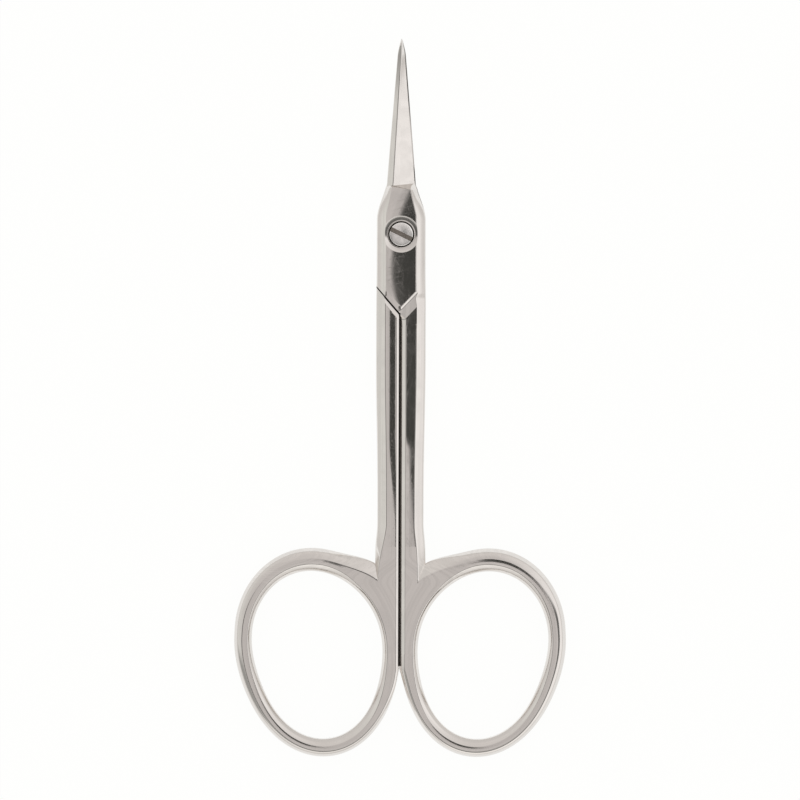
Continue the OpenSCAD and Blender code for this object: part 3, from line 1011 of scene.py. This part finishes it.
# The screw, turned about the pivot's axis
def screw_profile():
    """Half of the screw's outline: points (radius, z) from the hammered end up to the dome's middle."""
    seat_z = BOX_T - COUNTERBORE_DEPTH + HEAD_SEAT_GAP
    journal_z = MID_Z - LAP_D + HAIR
    thread_r, journal_r, head_r, rivet_r = THREAD_D / 2, JOURNAL_D / 2, HEAD_D / 2, RIVET_D / 2
    rim_z = seat_z + HEAD_T
    top_z = rim_z + DOME_R - math.sqrt(DOME_R ** 2 - head_r ** 2)
    profile = [(0, RIVET_INSET)]
    profile += [(rivet_r * i / 10, RIVET_INSET + 0.03 * (i / 10) ** 4) for i in range(1, 10)]
    profile += [(rivet_r - 0.03, RIVET_INSET + 0.04), (rivet_r - 0.02, RIVET_INSET + 0.07)]
    for i in range(1, 5):
        profile.append((mix(rivet_r - 0.03, thread_r, i / 4), mix(RIVET_INSET + 0.08, RIVET_H, i / 4)))
    rows = 36
    profile += [(thread_r, mix(RIVET_H, journal_z, i / rows)) for i in range(1, rows)]
    profile += [(thread_r, journal_z), (journal_r, journal_z + HAIR), (journal_r, seat_z)]
    profile += [(head_r - 0.1, seat_z), (head_r, seat_z + 0.06)]
    for a in (0, 22, 45, 67):
        profile.append((head_r - RIM_ROUND * (1 - cosd(a)), rim_z - RIM_ROUND * (1 - sind(a))))
    for i in range(17):
        r = (head_r - RIM_ROUND) * (1 - i / 16)
        profile.append((r, top_z - DOME_R + math.sqrt(DOME_R ** 2 - r ** 2)))
    return profile, top_z


def geometry_tree(name, sockets):
    """A Geometry Nodes tree with named inputs: the tree, its inputs and its output socket."""
    tree = bpy.data.node_groups.new(name, "GeometryNodeTree")
    tree.interface.new_socket("Geometry", in_out="INPUT", socket_type="NodeSocketGeometry")
    tree.interface.new_socket("Geometry", in_out="OUTPUT", socket_type="NodeSocketGeometry")
    for label, kind in sockets:
        tree.interface.new_socket(label, in_out="INPUT", socket_type="NodeSocket" + kind)
    return tree, tree.nodes.new("NodeGroupInput").outputs, tree.nodes.new("NodeGroupOutput").inputs[0]


def threaded(tree, given, radius, turn, z):
    """The radius, which dips along a helix between the thread's two ends."""
    phase = maths(tree, "SUBTRACT", maths(tree, "DIVIDE", z, given["Thread Pitch"]), turn)
    deep = times(tree, given["Thread Depth"], 2.0)
    dip = times(tree, maths(tree, "PINGPONG", phase, 0.5), deep)
    inside = times(tree, maths(tree, "GREATER_THAN", z, given["Thread Bottom"]),
                   maths(tree, "LESS_THAN", z, given["Thread Top"]))
    return maths(tree, "SUBTRACT", radius, times(tree, dip, inside))


def slot_bar(tree, given):
    """A bar across the dome, with its lower side at the slot's floor."""
    size = add(tree, "ShaderNodeCombineXYZ", X=given["Slot Length"], Y=given["Slot Width"], Z=SLOT_BAR_H)
    bar = add(tree, "GeometryNodeMeshCube", Size=size.outputs[0]).outputs["Mesh"]
    up = add(tree, "ShaderNodeCombineXYZ", Z=plus(tree, given["Slot Floor"], SLOT_BAR_H / 2)).outputs[0]
    lean = add(tree, "ShaderNodeCombineXYZ", Z=given["Slot Angle"]).outputs[0]
    return add(tree, "GeometryNodeTransform", Geometry=bar, Translation=up, Rotation=lean).outputs[0]


def slotted_screw_tree():
    """Turns a half-profile about the z axis, cuts its thread and takes the screwdriver slot out."""
    tree, given, out = geometry_tree("slotted_screw", (
        ("Segments", "Int"), ("Thread Bottom", "Float"), ("Thread Top", "Float"),
        ("Thread Pitch", "Float"), ("Thread Depth", "Float"), ("Slot Width", "Float"),
        ("Slot Length", "Float"), ("Slot Floor", "Float"), ("Slot Angle", "Float"),
        ("Material", "Material"),
    ))
    rows = add(tree, "GeometryNodeAttributeDomainSize", {"component": "MESH"}, Geometry=given["Geometry"])
    rows = rows.outputs["Point Count"]
    columns = plus(tree, given["Segments"], 1)
    grid = add(tree, "GeometryNodeMeshGrid", i2=columns, i3=rows)
    index = add(tree, "GeometryNodeInputIndex").outputs[0]
    column = maths(tree, "FLOOR", maths(tree, "DIVIDE", plus(tree, index, 0.5), rows))
    row = maths(tree, "SUBTRACT", index, times(tree, column, rows))
    turn = maths(tree, "DIVIDE", column, given["Segments"])
    place = add(tree, "GeometryNodeInputPosition").outputs[0]
    sample = {"data_type": "FLOAT_VECTOR", "domain": "POINT"}
    found = add(tree, "GeometryNodeSampleIndex", sample, Geometry=given["Geometry"], Value=place, Index=row)
    radius, _, z = add(tree, "ShaderNodeSeparateXYZ", Vector=found.outputs[0]).outputs

    radius = threaded(tree, given, radius, turn, z)
    angle = times(tree, turn, math.tau)
    x = times(tree, radius, maths(tree, "COSINE", angle))
    y = times(tree, radius, maths(tree, "SINE", angle))
    turned = add(tree, "ShaderNodeCombineXYZ", X=x, Y=y, Z=z).outputs[0]
    body = add(tree, "GeometryNodeSetPosition", Geometry=grid.outputs["Mesh"], Position=turned).outputs[0]
    body = add(tree, "GeometryNodeMergeByDistance", Geometry=body, Distance=1e-4).outputs[0]

    difference = {"operation": "DIFFERENCE", "solver": "EXACT"}
    slotted = add(tree, "GeometryNodeMeshBoolean", difference, i0=body, i1=slot_bar(tree, given))
    whole = add(tree, "GeometryNodeRealizeInstances", Geometry=slotted.outputs[0]).outputs[0]
    whole = add(tree, "GeometryNodeSetMaterial", Geometry=whole, Material=given["Material"]).outputs[0]
    tree.links.new(whole, out)
    return tree


def make_screw(material):
    """The pivot screw, turned and slotted by its tree."""
    profile, top_z = screw_profile()
    mesh = bpy.data.meshes.new("pivot_screw_turned")
    mesh.from_pydata([(r, 0, z) for r, z in profile], [(i, i + 1) for i in range(len(profile) - 1)], [])
    screw = linked("pivot_screw_turned", mesh)
    turning = screw.modifiers.new("turning", "NODES")
    turning.node_group = slotted_screw_tree()
    values = {
        "Segments": 128, "Thread Bottom": RIVET_H, "Thread Top": MID_Z - LAP_D, "Thread Pitch": THREAD_PITCH,
        "Thread Depth": THREAD_DEPTH, "Slot Width": SLOT_W, "Slot Length": 2 * HEAD_D,
        "Slot Floor": top_z - SLOT_DEPTH, "Slot Angle": math.radians(SLOT_ANGLE), "Material": material,
    }
    for item in turning.node_group.interface.items_tree:
        if item.name in values:
            turning[item.identifier] = values[item.name]
    baked(screw)
    face_outwards(screw.data)
    return dressed(screw, [material])


# Materials
def add(tree, kind, settings=None, **inputs):
    """A node with its settings, and each input set to a value or joined to an output."""
    node = tree.nodes.new(kind)
    for key, value in (settings or {}).items():
        setattr(node, key, value)
    for key, value in inputs.items():
        by_place = key[0] == "i" and key[1:].isdigit()
        socket = node.inputs[int(key[1:])] if by_place else node.inputs[key.replace("_", " ")]
        if isinstance(value, bpy.types.NodeSocket):
            tree.links.new(value, socket)
        else:
            socket.default_value = value
    return node


def maths(tree, operation, a, b=0.0):
    return add(tree, "ShaderNodeMath", {"operation": operation}, i0=a, i1=b).outputs[0]


def plus(tree, a, b):
    return maths(tree, "ADD", a, b)


def times(tree, a, b):
    return maths(tree, "MULTIPLY", a, b)


def squared(tree, a):
    return maths(tree, "POWER", a, 2.0)


def distance(tree, x, y):
    """Length of the arrow (x, y)."""
    return maths(tree, "SQRT", plus(tree, squared(tree, x), squared(tree, y)))


def between_values(tree, value, low, high, to_low=0.0, to_high=1.0):
    """The value's way from low to high, smoothed, as a number from to_low to to_high."""
    settings = {"interpolation_type": "SMOOTHSTEP"}
    node = add(tree, "ShaderNodeMapRange", settings, i0=value, i1=low, i2=high, i3=to_low, i4=to_high)
    return node.outputs[0]


def colour_mix(tree, share, a, b):
    return add(tree, "ShaderNodeMix", {"data_type": "RGBA"}, i0=share, i6=a, i7=b).outputs[2]


def new_group(name, inputs, outputs):
    """A shader node group, the outputs of its input node and the inputs of its output node."""
    group = bpy.data.node_groups.new(name, "ShaderNodeTree")
    for in_out, sockets in (("INPUT", inputs), ("OUTPUT", outputs)):
        for label, kind, *value in sockets:
            socket = group.interface.new_socket(label, in_out=in_out, socket_type="NodeSocket" + kind)
            if value:
                socket.default_value = value[0]
    return group, group.nodes.new("NodeGroupInput").outputs, group.nodes.new("NodeGroupOutput").inputs


def place_in_mm(group, given):
    """x, y and z of the given place, in millimetres."""
    scaled = add(group, "ShaderNodeVectorMath", {"operation": "SCALE"}, i0=given["Place"], Scale=1 / MM)
    return add(group, "ShaderNodeSeparateXYZ", Vector=scaled.outputs[0]).outputs


def grain_group():
    """Fine lines left by a wheel, and broader waves under them, along one way of a place in mm."""
    group, given, out = new_group(
        "grain",
        [("Place", "Vector"), ("Lines", "Vector", (14, 0.25, 14)), ("Waves", "Vector", (2.2, 0.03, 2.2)),
         ("Line Depth", "Float", 4e-8), ("Wave Depth", "Float", 3e-7)],
        [("Height", "Float"), ("Mask", "Float")],
    )
    heights = []
    for label, detail in (("Line", 3.0), ("Wave", 1.5)):
        stretched = add(group, "ShaderNodeVectorMath", {"operation": "MULTIPLY"}, i0=given["Place"],
                        i1=given[label + "s"]).outputs[0]
        noise = add(group, "ShaderNodeTexNoise", Vector=stretched, Scale=1.0, Detail=detail, Roughness=0.6)
        noise = noise.outputs["Fac"]
        heights.append(times(group, noise, given[label + " Depth"]))
    group.links.new(plus(group, *heights), out["Height"])
    group.links.new(noise, out["Mask"])
    return group


def scratches_group():
    """Thin scratches of use that cross at slight angles, and a mask of dull, worn patches."""
    group, given, out = new_group("scratches", [("Place", "Vector"), ("Depth", "Float", 2.5e-7)],
                                  [("Height", "Float"), ("Wear", "Float")])
    scratches = 0.0
    for angle, stretch, offset in ((12, (9, 0.16, 9), 3), (-31, (7, 0.2, 7), 17), (74, (6, 0.22, 6), 29)):
        turned = add(group, "ShaderNodeVectorRotate", {"rotation_type": "Z_AXIS"}, Vector=given["Place"],
                     Angle=math.radians(angle)).outputs[0]
        stretched = add(group, "ShaderNodeVectorMath", {"operation": "MULTIPLY_ADD"}, i0=turned, i1=stretch,
                        i2=(offset, offset, offset)).outputs[0]
        noise = add(group, "ShaderNodeTexNoise", Vector=stretched, Scale=1.0, Detail=1.0).outputs["Fac"]
        near_middle = maths(group, "ABSOLUTE", maths(group, "SUBTRACT", noise, 0.69))
        scratch = between_values(group, near_middle, 0.0, 0.012, 1.0, 0.0)
        scratches = maths(group, "MAXIMUM", scratches, scratch)
    downwards = times(group, given["Depth"], -1.0)
    group.links.new(times(group, scratches, downwards), out["Height"])
    patches = add(group, "ShaderNodeTexNoise", Vector=given["Place"], Scale=0.35, Detail=4.0, Roughness=0.6)
    group.links.new(between_values(group, patches.outputs["Fac"], 0.4, 0.72), out["Wear"])
    return group


def band_place_group():
    """A place in millimetres, straight along the shanks and wound round each finger ring."""
    group, given, out = new_group("band_place", [("Place", "Vector")], [("Place", "Vector")])
    x, y, z = place_in_mm(group, given)
    side = maths(group, "GREATER_THAN", x, SEAM_X)
    z = plus(group, z, times(group, side, SEAM_STEP))
    straight = add(group, "ShaderNodeCombineXYZ", X=maths(group, "ABSOLUTE", x), Y=y, Z=z).outputs[0]
    from_x = maths(group, "SUBTRACT", maths(group, "ABSOLUTE", x), RING_X)
    from_y = plus(group, y, RING_Y)
    way = (cosd(90 - FINGER_LEAN), sind(90 - FINGER_LEAN))
    axes = []
    for to_x, to_y, across in ((way[0], way[1], FINGER_L), (-way[1], way[0], FINGER_W)):
        run = plus(group, times(group, from_x, to_x), times(group, from_y, to_y))
        axes.append(maths(group, "DIVIDE", run, across / 2))
    far = times(group, distance(group, *axes), (FINGER_L + FINGER_W) / 4)
    along = times(group, maths(group, "ARCTAN2", from_y, from_x), FINGER_W / 2)
    inwards = maths(group, "SUBTRACT", WEB_MATCH[0], far)
    along = maths(group, "SUBTRACT", WEB_MATCH[1], along)
    wound = add(group, "ShaderNodeCombineXYZ", X=inwards, Y=along, Z=z).outputs[0]
    share = between_values(group, y, -CROTCH_BLEND_Y[0], -CROTCH_BLEND_Y[1])
    mixed = add(group, "ShaderNodeMix", {"data_type": "VECTOR"}, i0=share, i4=straight, i5=wound).outputs[1]
    group.links.new(mixed, out["Place"])
    return group


def turned_place_group():
    """A place in millimetres wound round the pivot: x is the distance from its axis."""
    group, given, out = new_group("turned_place", [("Place", "Vector")], [("Place", "Vector")])
    x, y, z = place_in_mm(group, given)
    along = maths(group, "ARCTAN2", y, x)
    wound = add(group, "ShaderNodeCombineXYZ", X=distance(group, x, y), Y=along, Z=z).outputs[0]
    group.links.new(wound, out["Place"])
    return group


def shifted(group, y, middle, shifts):
    """A belly's middle, moved over stretches of y."""
    for start, end, shift in shifts:
        middle = plus(group, middle, between_values(group, y, start, end, shift, 0))
    return middle


def flats_group():
    """Slight bellies of the two shanks' flats, which fall to either side of a line along each."""
    group, given, out = new_group(
        "flats", [("Place", "Vector"), ("Left Middle", "Float", -1.45), ("Left Bend", "Float", 0.1),
                  ("Right Middle", "Float", 0.35), ("Right Bend", "Float", 0.028)], [("Height", "Float")]
    )
    x, y, z = place_in_mm(group, given)
    right = maths(group, "GREATER_THAN", x, FLATS_SEAM_X)
    middles = (shifted(group, y, given["Left Middle"], LEFT_SHIFTS),
               shifted(group, y, given["Right Middle"], RIGHT_SHIFTS))
    middle, bend = (
        add(group, "ShaderNodeMix", {"data_type": "FLOAT"}, i0=right, i2=for_left, i3=for_right).outputs[0]
        for for_left, for_right in (middles, (given["Left Bend"], given["Right Bend"]))
    )
    fall = times(group, squared(group, maths(group, "SUBTRACT", x, middle)), bend)
    fading = between_values(group, y, -BELLY_END_Y[1], -BELLY_END_Y[0])
    fall = times(group, times(group, fall, fading), -MM / 2)
    group.links.new(plus(group, fall, handle_lean(group, y)), out["Height"])
    return group


def handle_lean(group, y):
    """The height of the handles' very slight fall to their ends, at y in millimetres."""
    beyond = maths(group, "MINIMUM", plus(group, y, HANDLE_LEAN_Y), 0.0)
    return times(group, beyond, HANDLE_LEAN * MM)


def handle_group():
    """The handles' fall by itself, for the polish that has no belly."""
    group, given, out = new_group("handle", [("Place", "Vector")], [("Height", "Float")])
    y = place_in_mm(group, given)["Y"]
    group.links.new(handle_lean(group, y), out["Height"])
    return group


def facet_group():
    """The box facet's slight crown, whose line bends over from the neck to the facet's point."""
    group, given, out = new_group(
        "facet_crown", [("Place", "Vector"), ("Bend", "Float", 0.0122)],
        [("Height", "Float"), ("Place", "Vector")]
    )
    x, y, z = place_in_mm(group, given)
    from_turn = maths(group, "SUBTRACT", y, CROWN_TURN_Y)
    above, below = (
        times(group, squared(group, maths(group, limit, from_turn, 0.0)), bend)
        for limit, bend in zip(("MAXIMUM", "MINIMUM"), CROWN_BENDS)
    )
    line = plus(group, plus(group, above, below), CROWN_X)
    run = maths(group, "SUBTRACT", x, line)
    fall = times(group, squared(group, run), given["Bend"])
    group.links.new(times(group, fall, -MM / 2), out["Height"])
    bent = add(group, "ShaderNodeCombineXYZ", X=run, Y=y, Z=z).outputs[0]
    group.links.new(bent, out["Place"])
    return group


def new_material(name):
    """A material, its tree, its shader and the place on the piece."""
    material = bpy.data.materials.new(name)
    material.use_nodes = True
    tree = material.node_tree
    return material, tree, tree.nodes["Principled BSDF"], object_place(tree)


def object_place(tree):
    return add(tree, "ShaderNodeTexCoord").outputs["Object"]


def steel_material(name, groups, place, base=STEEL, roughness=0.08, worn=0.03, form=None, **grain):
    """Polished steel: its grain runs along the given place, over the form's slight belly."""
    material, tree, steel, at = new_material(name)
    along = add(tree, "ShaderNodeGroup", {"node_tree": groups[place]}, Place=at).outputs["Place"]
    lines = add(tree, "ShaderNodeGroup", {"node_tree": groups["grain"]}, Place=along, **grain).outputs
    marks = add(tree, "ShaderNodeGroup", {"node_tree": groups["scratches"]}, Place=along).outputs
    height = plus(tree, lines["Height"], marks["Height"])
    if form:
        belly = add(tree, "ShaderNodeGroup", {"node_tree": groups[form]}, Place=at).outputs["Height"]
        height = plus(tree, height, belly)
    bump = add(tree, "ShaderNodeBump", Strength=1.0, Distance=1.0, Height=height)
    dull = (*(DULL_SHARE * v for v in base), 1)
    tone = colour_mix(tree, marks["Wear"], (*base, 1), dull)
    tone = colour_mix(tree, between_values(tree, lines["Mask"], 0.4, 0.62), tone, dull)
    tree.links.new(tone, steel.inputs["Base Color"])
    steel.inputs["Metallic"].default_value = 1
    rough = plus(tree, times(tree, marks["Wear"], worn),
                  between_values(tree, lines["Mask"], 0.2, 0.8, roughness * 0.75, roughness * 1.25))
    tree.links.new(rough, steel.inputs["Roughness"])
    tree.links.new(bump.outputs["Normal"], steel.inputs["Normal"])
    return material


def paint_slot_shade(material, low, high):
    """Painted shade in the screw's slot: full below the lower height and fading out towards the upper."""
    tree = material.node_tree
    tone = tree.nodes["Principled BSDF"].inputs["Base Color"]
    z = add(tree, "ShaderNodeSeparateXYZ", Vector=object_place(tree)).outputs["Z"]
    shade = between_values(tree, z, low, high, 1.0, 0.0)
    tree.links.new(colour_mix(tree, shade, tone.links[0].from_socket, (*SLOT_SHADE, 1)), tone)


def wall_steel_painted_shade(name, groups):
    """The walls inside the joint and the split: rough, with little shine, speckled, and dark with painted
    shade for the deep, narrow gaps between the halves.
    """
    material, tree, steel, at = new_material(name)
    marks = add(tree, "ShaderNodeGroup", {"node_tree": groups["scratches"]}, Place=at).outputs
    speckle = add(tree, "ShaderNodeTexNoise", Vector=at, Scale=2600.0, Detail=5.0, Roughness=0.7)
    speckle = speckle.outputs["Fac"]
    dark, light = ((*tone, 1) for tone in WALL_PAINTED_SHADE_TONES)
    tone = colour_mix(tree, between_values(tree, speckle, 0.3, 0.7), dark, light)
    tree.links.new(tone, steel.inputs["Base Color"])
    steel.inputs["Metallic"].default_value = 0
    steel.inputs["Specular IOR Level"].default_value = 0.12
    rough = plus(tree, times(tree, marks["Wear"], 0.15), 0.7)
    tree.links.new(rough, steel.inputs["Roughness"])
    bump = add(tree, "ShaderNodeBump", Strength=0.5, Distance=1e-5, Height=speckle)
    tree.links.new(bump.outputs["Normal"], steel.inputs["Normal"])
    return material


# Camera, studio and floor
def make_camera():
    """Looks straight down on the scissors."""
    lens = bpy.data.cameras.new("camera")
    lens.sensor_width = SENSOR_W
    lens.lens = SENSOR_W * CAMERA_D / VIEW_W
    lens.clip_start, lens.clip_end = 0.01, 10
    camera = bpy.data.objects.new("camera", lens)
    camera.location = (CAMERA_X, CAMERA_Y, VIEW_Z + CAMERA_D)
    camera.rotation_euler = (0, 0, math.radians(CAMERA_TURN))
    bpy.context.scene.collection.objects.link(camera)
    bpy.context.scene.camera = camera


def seen_directly(tree):
    """1 for the rays that show the background itself: camera, glossy and transmission rays."""
    path = add(tree, "ShaderNodeLightPath").outputs
    seen = maths(tree, "MAXIMUM", path["Is Camera Ray"], path["Is Glossy Ray"])
    return maths(tree, "MAXIMUM", seen, path["Is Transmission Ray"])


def patch(tree, tilt_x, tilt_y, x_range, y_range, edge):
    """1 inside a rectangle of the directions' slopes, with soft edges."""
    inside = 1.0
    for tilt, (low, high) in ((tilt_x, x_range), (tilt_y, y_range)):
        rising = between_values(tree, tilt, low - edge, low + edge)
        falling = between_values(tree, tilt, high - edge, high + edge, 1.0, 0.0)
        inside = times(tree, times(tree, rising, falling), inside)
    return inside


def make_studio():
    """A pale studio with a dark card right above, a dark ring open to the back and a low shade."""
    world = bpy.data.worlds.new("studio")
    world.use_nodes = True
    bpy.context.scene.world = world
    tree = world.node_tree
    background = tree.nodes["Background"]
    way = add(tree, "ShaderNodeTexCoord").outputs["Generated"]
    x, y, z = add(tree, "ShaderNodeSeparateXYZ", Vector=way).outputs
    up = maths(tree, "MAXIMUM", z, 0.001)
    tilt_x, tilt_y = maths(tree, "DIVIDE", x, up), maths(tree, "DIVIDE", y, up)
    sine_squared = plus(tree, times(tree, x, x), times(tree, y, y))
    sine_squared = maths(tree, "MAXIMUM", sine_squared, 1e-6)
    sine = maths(tree, "SQRT", sine_squared)
    tone = (0.0, 0.0, 0.0)
    for (to_x, to_y), colour, (start, full) in SIDES:
        part = plus(tree, times(tree, x, to_x), times(tree, y, to_y))
        weight = maths(tree, "DIVIDE", squared(tree, maths(tree, "MAXIMUM", part, 0.0)), sine_squared)
        reached = colour_mix(tree, between_values(tree, sine, start, full), (*ZENITH, 1), (*colour, 1))
        coloured = add(tree, "ShaderNodeVectorMath", {"operation": "SCALE"}, i0=reached, Scale=weight)
        tone = add(tree, "ShaderNodeVectorMath", {"operation": "ADD"}, i0=tone, i1=coloured.outputs[0])
        tone = tone.outputs[0]
    tone = colour_mix(tree, between_values(tree, sine, LOW_START, 1.0), tone, (*LOW_TONE, 1))
    dark = patch(tree, tilt_x, tilt_y, *CARD)
    around = patch(tree, distance(tree, tilt_x, tilt_y), tilt_y, *DARK_RING)
    low = patch(tree, tilt_x, tilt_y, *LOW_SHADE)
    for shape, share in ((around, RING_SHARE), (low, LOW_SHARE)):
        dark = maths(tree, "MAXIMUM", dark, times(tree, shape, share))
    mirrored = colour_mix(tree, dark, tone, (*CARD_TONE, 1))
    tree.links.new(colour_mix(tree, seen_directly(tree), (1, 1, 1, 1), mirrored), background.inputs["Color"])


def make_floor():
    """A plain floor that keeps the shadow and is nearly white to the camera and in mirrors."""
    corners = ((-1, -1), (1, -1), (1, 1), (-1, 1))
    points = [(x * FLOOR_HALF_W, y * FLOOR_HALF_W, FLOOR_Z) for x, y in corners]
    floor = mesh_object("floor", points, [(0, 1, 2, 3)])
    material = bpy.data.materials.new("floor")
    material.use_nodes = True
    tree = material.node_tree
    tree.nodes.remove(tree.nodes["Principled BSDF"])
    matt = add(tree, "ShaderNodeBsdfDiffuse", Color=(*FLOOR_TONE, 1)).outputs[0]
    white = add(tree, "ShaderNodeEmission", Color=(*FLOOR_WHITE, 1), Strength=1.0).outputs[0]
    share = times(tree, seen_directly(tree), FLOOR_WHITE_SHARE)
    mixed = add(tree, "ShaderNodeMixShader", i0=share, i1=matt, i2=white)
    tree.links.new(mixed.outputs[0], tree.nodes["Material Output"].inputs["Surface"])
    floor.data.materials.append(material)


# The whole
def make_steels():
    """The steels of a half, in the order of its material slots, and the screw's."""
    groups = {
        "grain": grain_group(), "scratches": scratches_group(), "band": band_place_group(),
        "turned": turned_place_group(), "flats": flats_group(), "facet": facet_group(),
        "handle": handle_group(),
    }
    polish = steel_material("polish", groups, "band", form="handle")
    flat = steel_material("flat", groups, "band", form="flats", roughness=0.055)
    facet = steel_material("facet", groups, "facet", form="facet", roughness=0.055, Wave_Depth=1.5e-7)
    grind = steel_material("grind", groups, "band", roughness=0.16,
                           Lines=(1.5, 16, 1.5), Waves=(0.5, 0.6, 0.5))
    # The inner walls' dark tone is painted shade for the gaps between the halves
    inner = wall_steel_painted_shade("inner", groups)
    turned = steel_material("turned", groups, "turned", roughness=0.1,
                            Lines=(16, 0.4, 16), Waves=(4, 0.3, 4))
    screw = steel_material("screw", groups, "turned", roughness=0.22, base=SCREW_TONE,
                           Lines=(18, 0.5, 18), Waves=(1.2, 1.2, 1.2), Line_Depth=1e-7, Wave_Depth=1e-5)
    # The screw's slot gets painted shade towards its floor
    slot_floor = (screw_profile()[1] - SLOT_DEPTH) * MM
    paint_slot_shade(screw, *(slot_floor + h * MM for h in SLOT_SHADE_H))
    return [polish, flat, facet, grind, inner, turned], screw


make_camera()
make_studio()
make_floor()
STEELS, SCREW_STEEL = make_steels()
for name, side, body, node, holes in (
    ("front_half_forging", 1, "front_body", "front_half", head_seat_cutter),
    ("rear_half_forging", -1, "rear_body", "rear_half", tapped_hole_cutter),
):
    half = make_half(name, side, [holes()], STEELS)
    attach(half, body)
    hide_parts(node)
screw = make_screw(SCREW_STEEL)
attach(screw, "rear_body")
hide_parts("pivot_screw")

bpy.context.scene.view_settings.view_transform = "Standard"
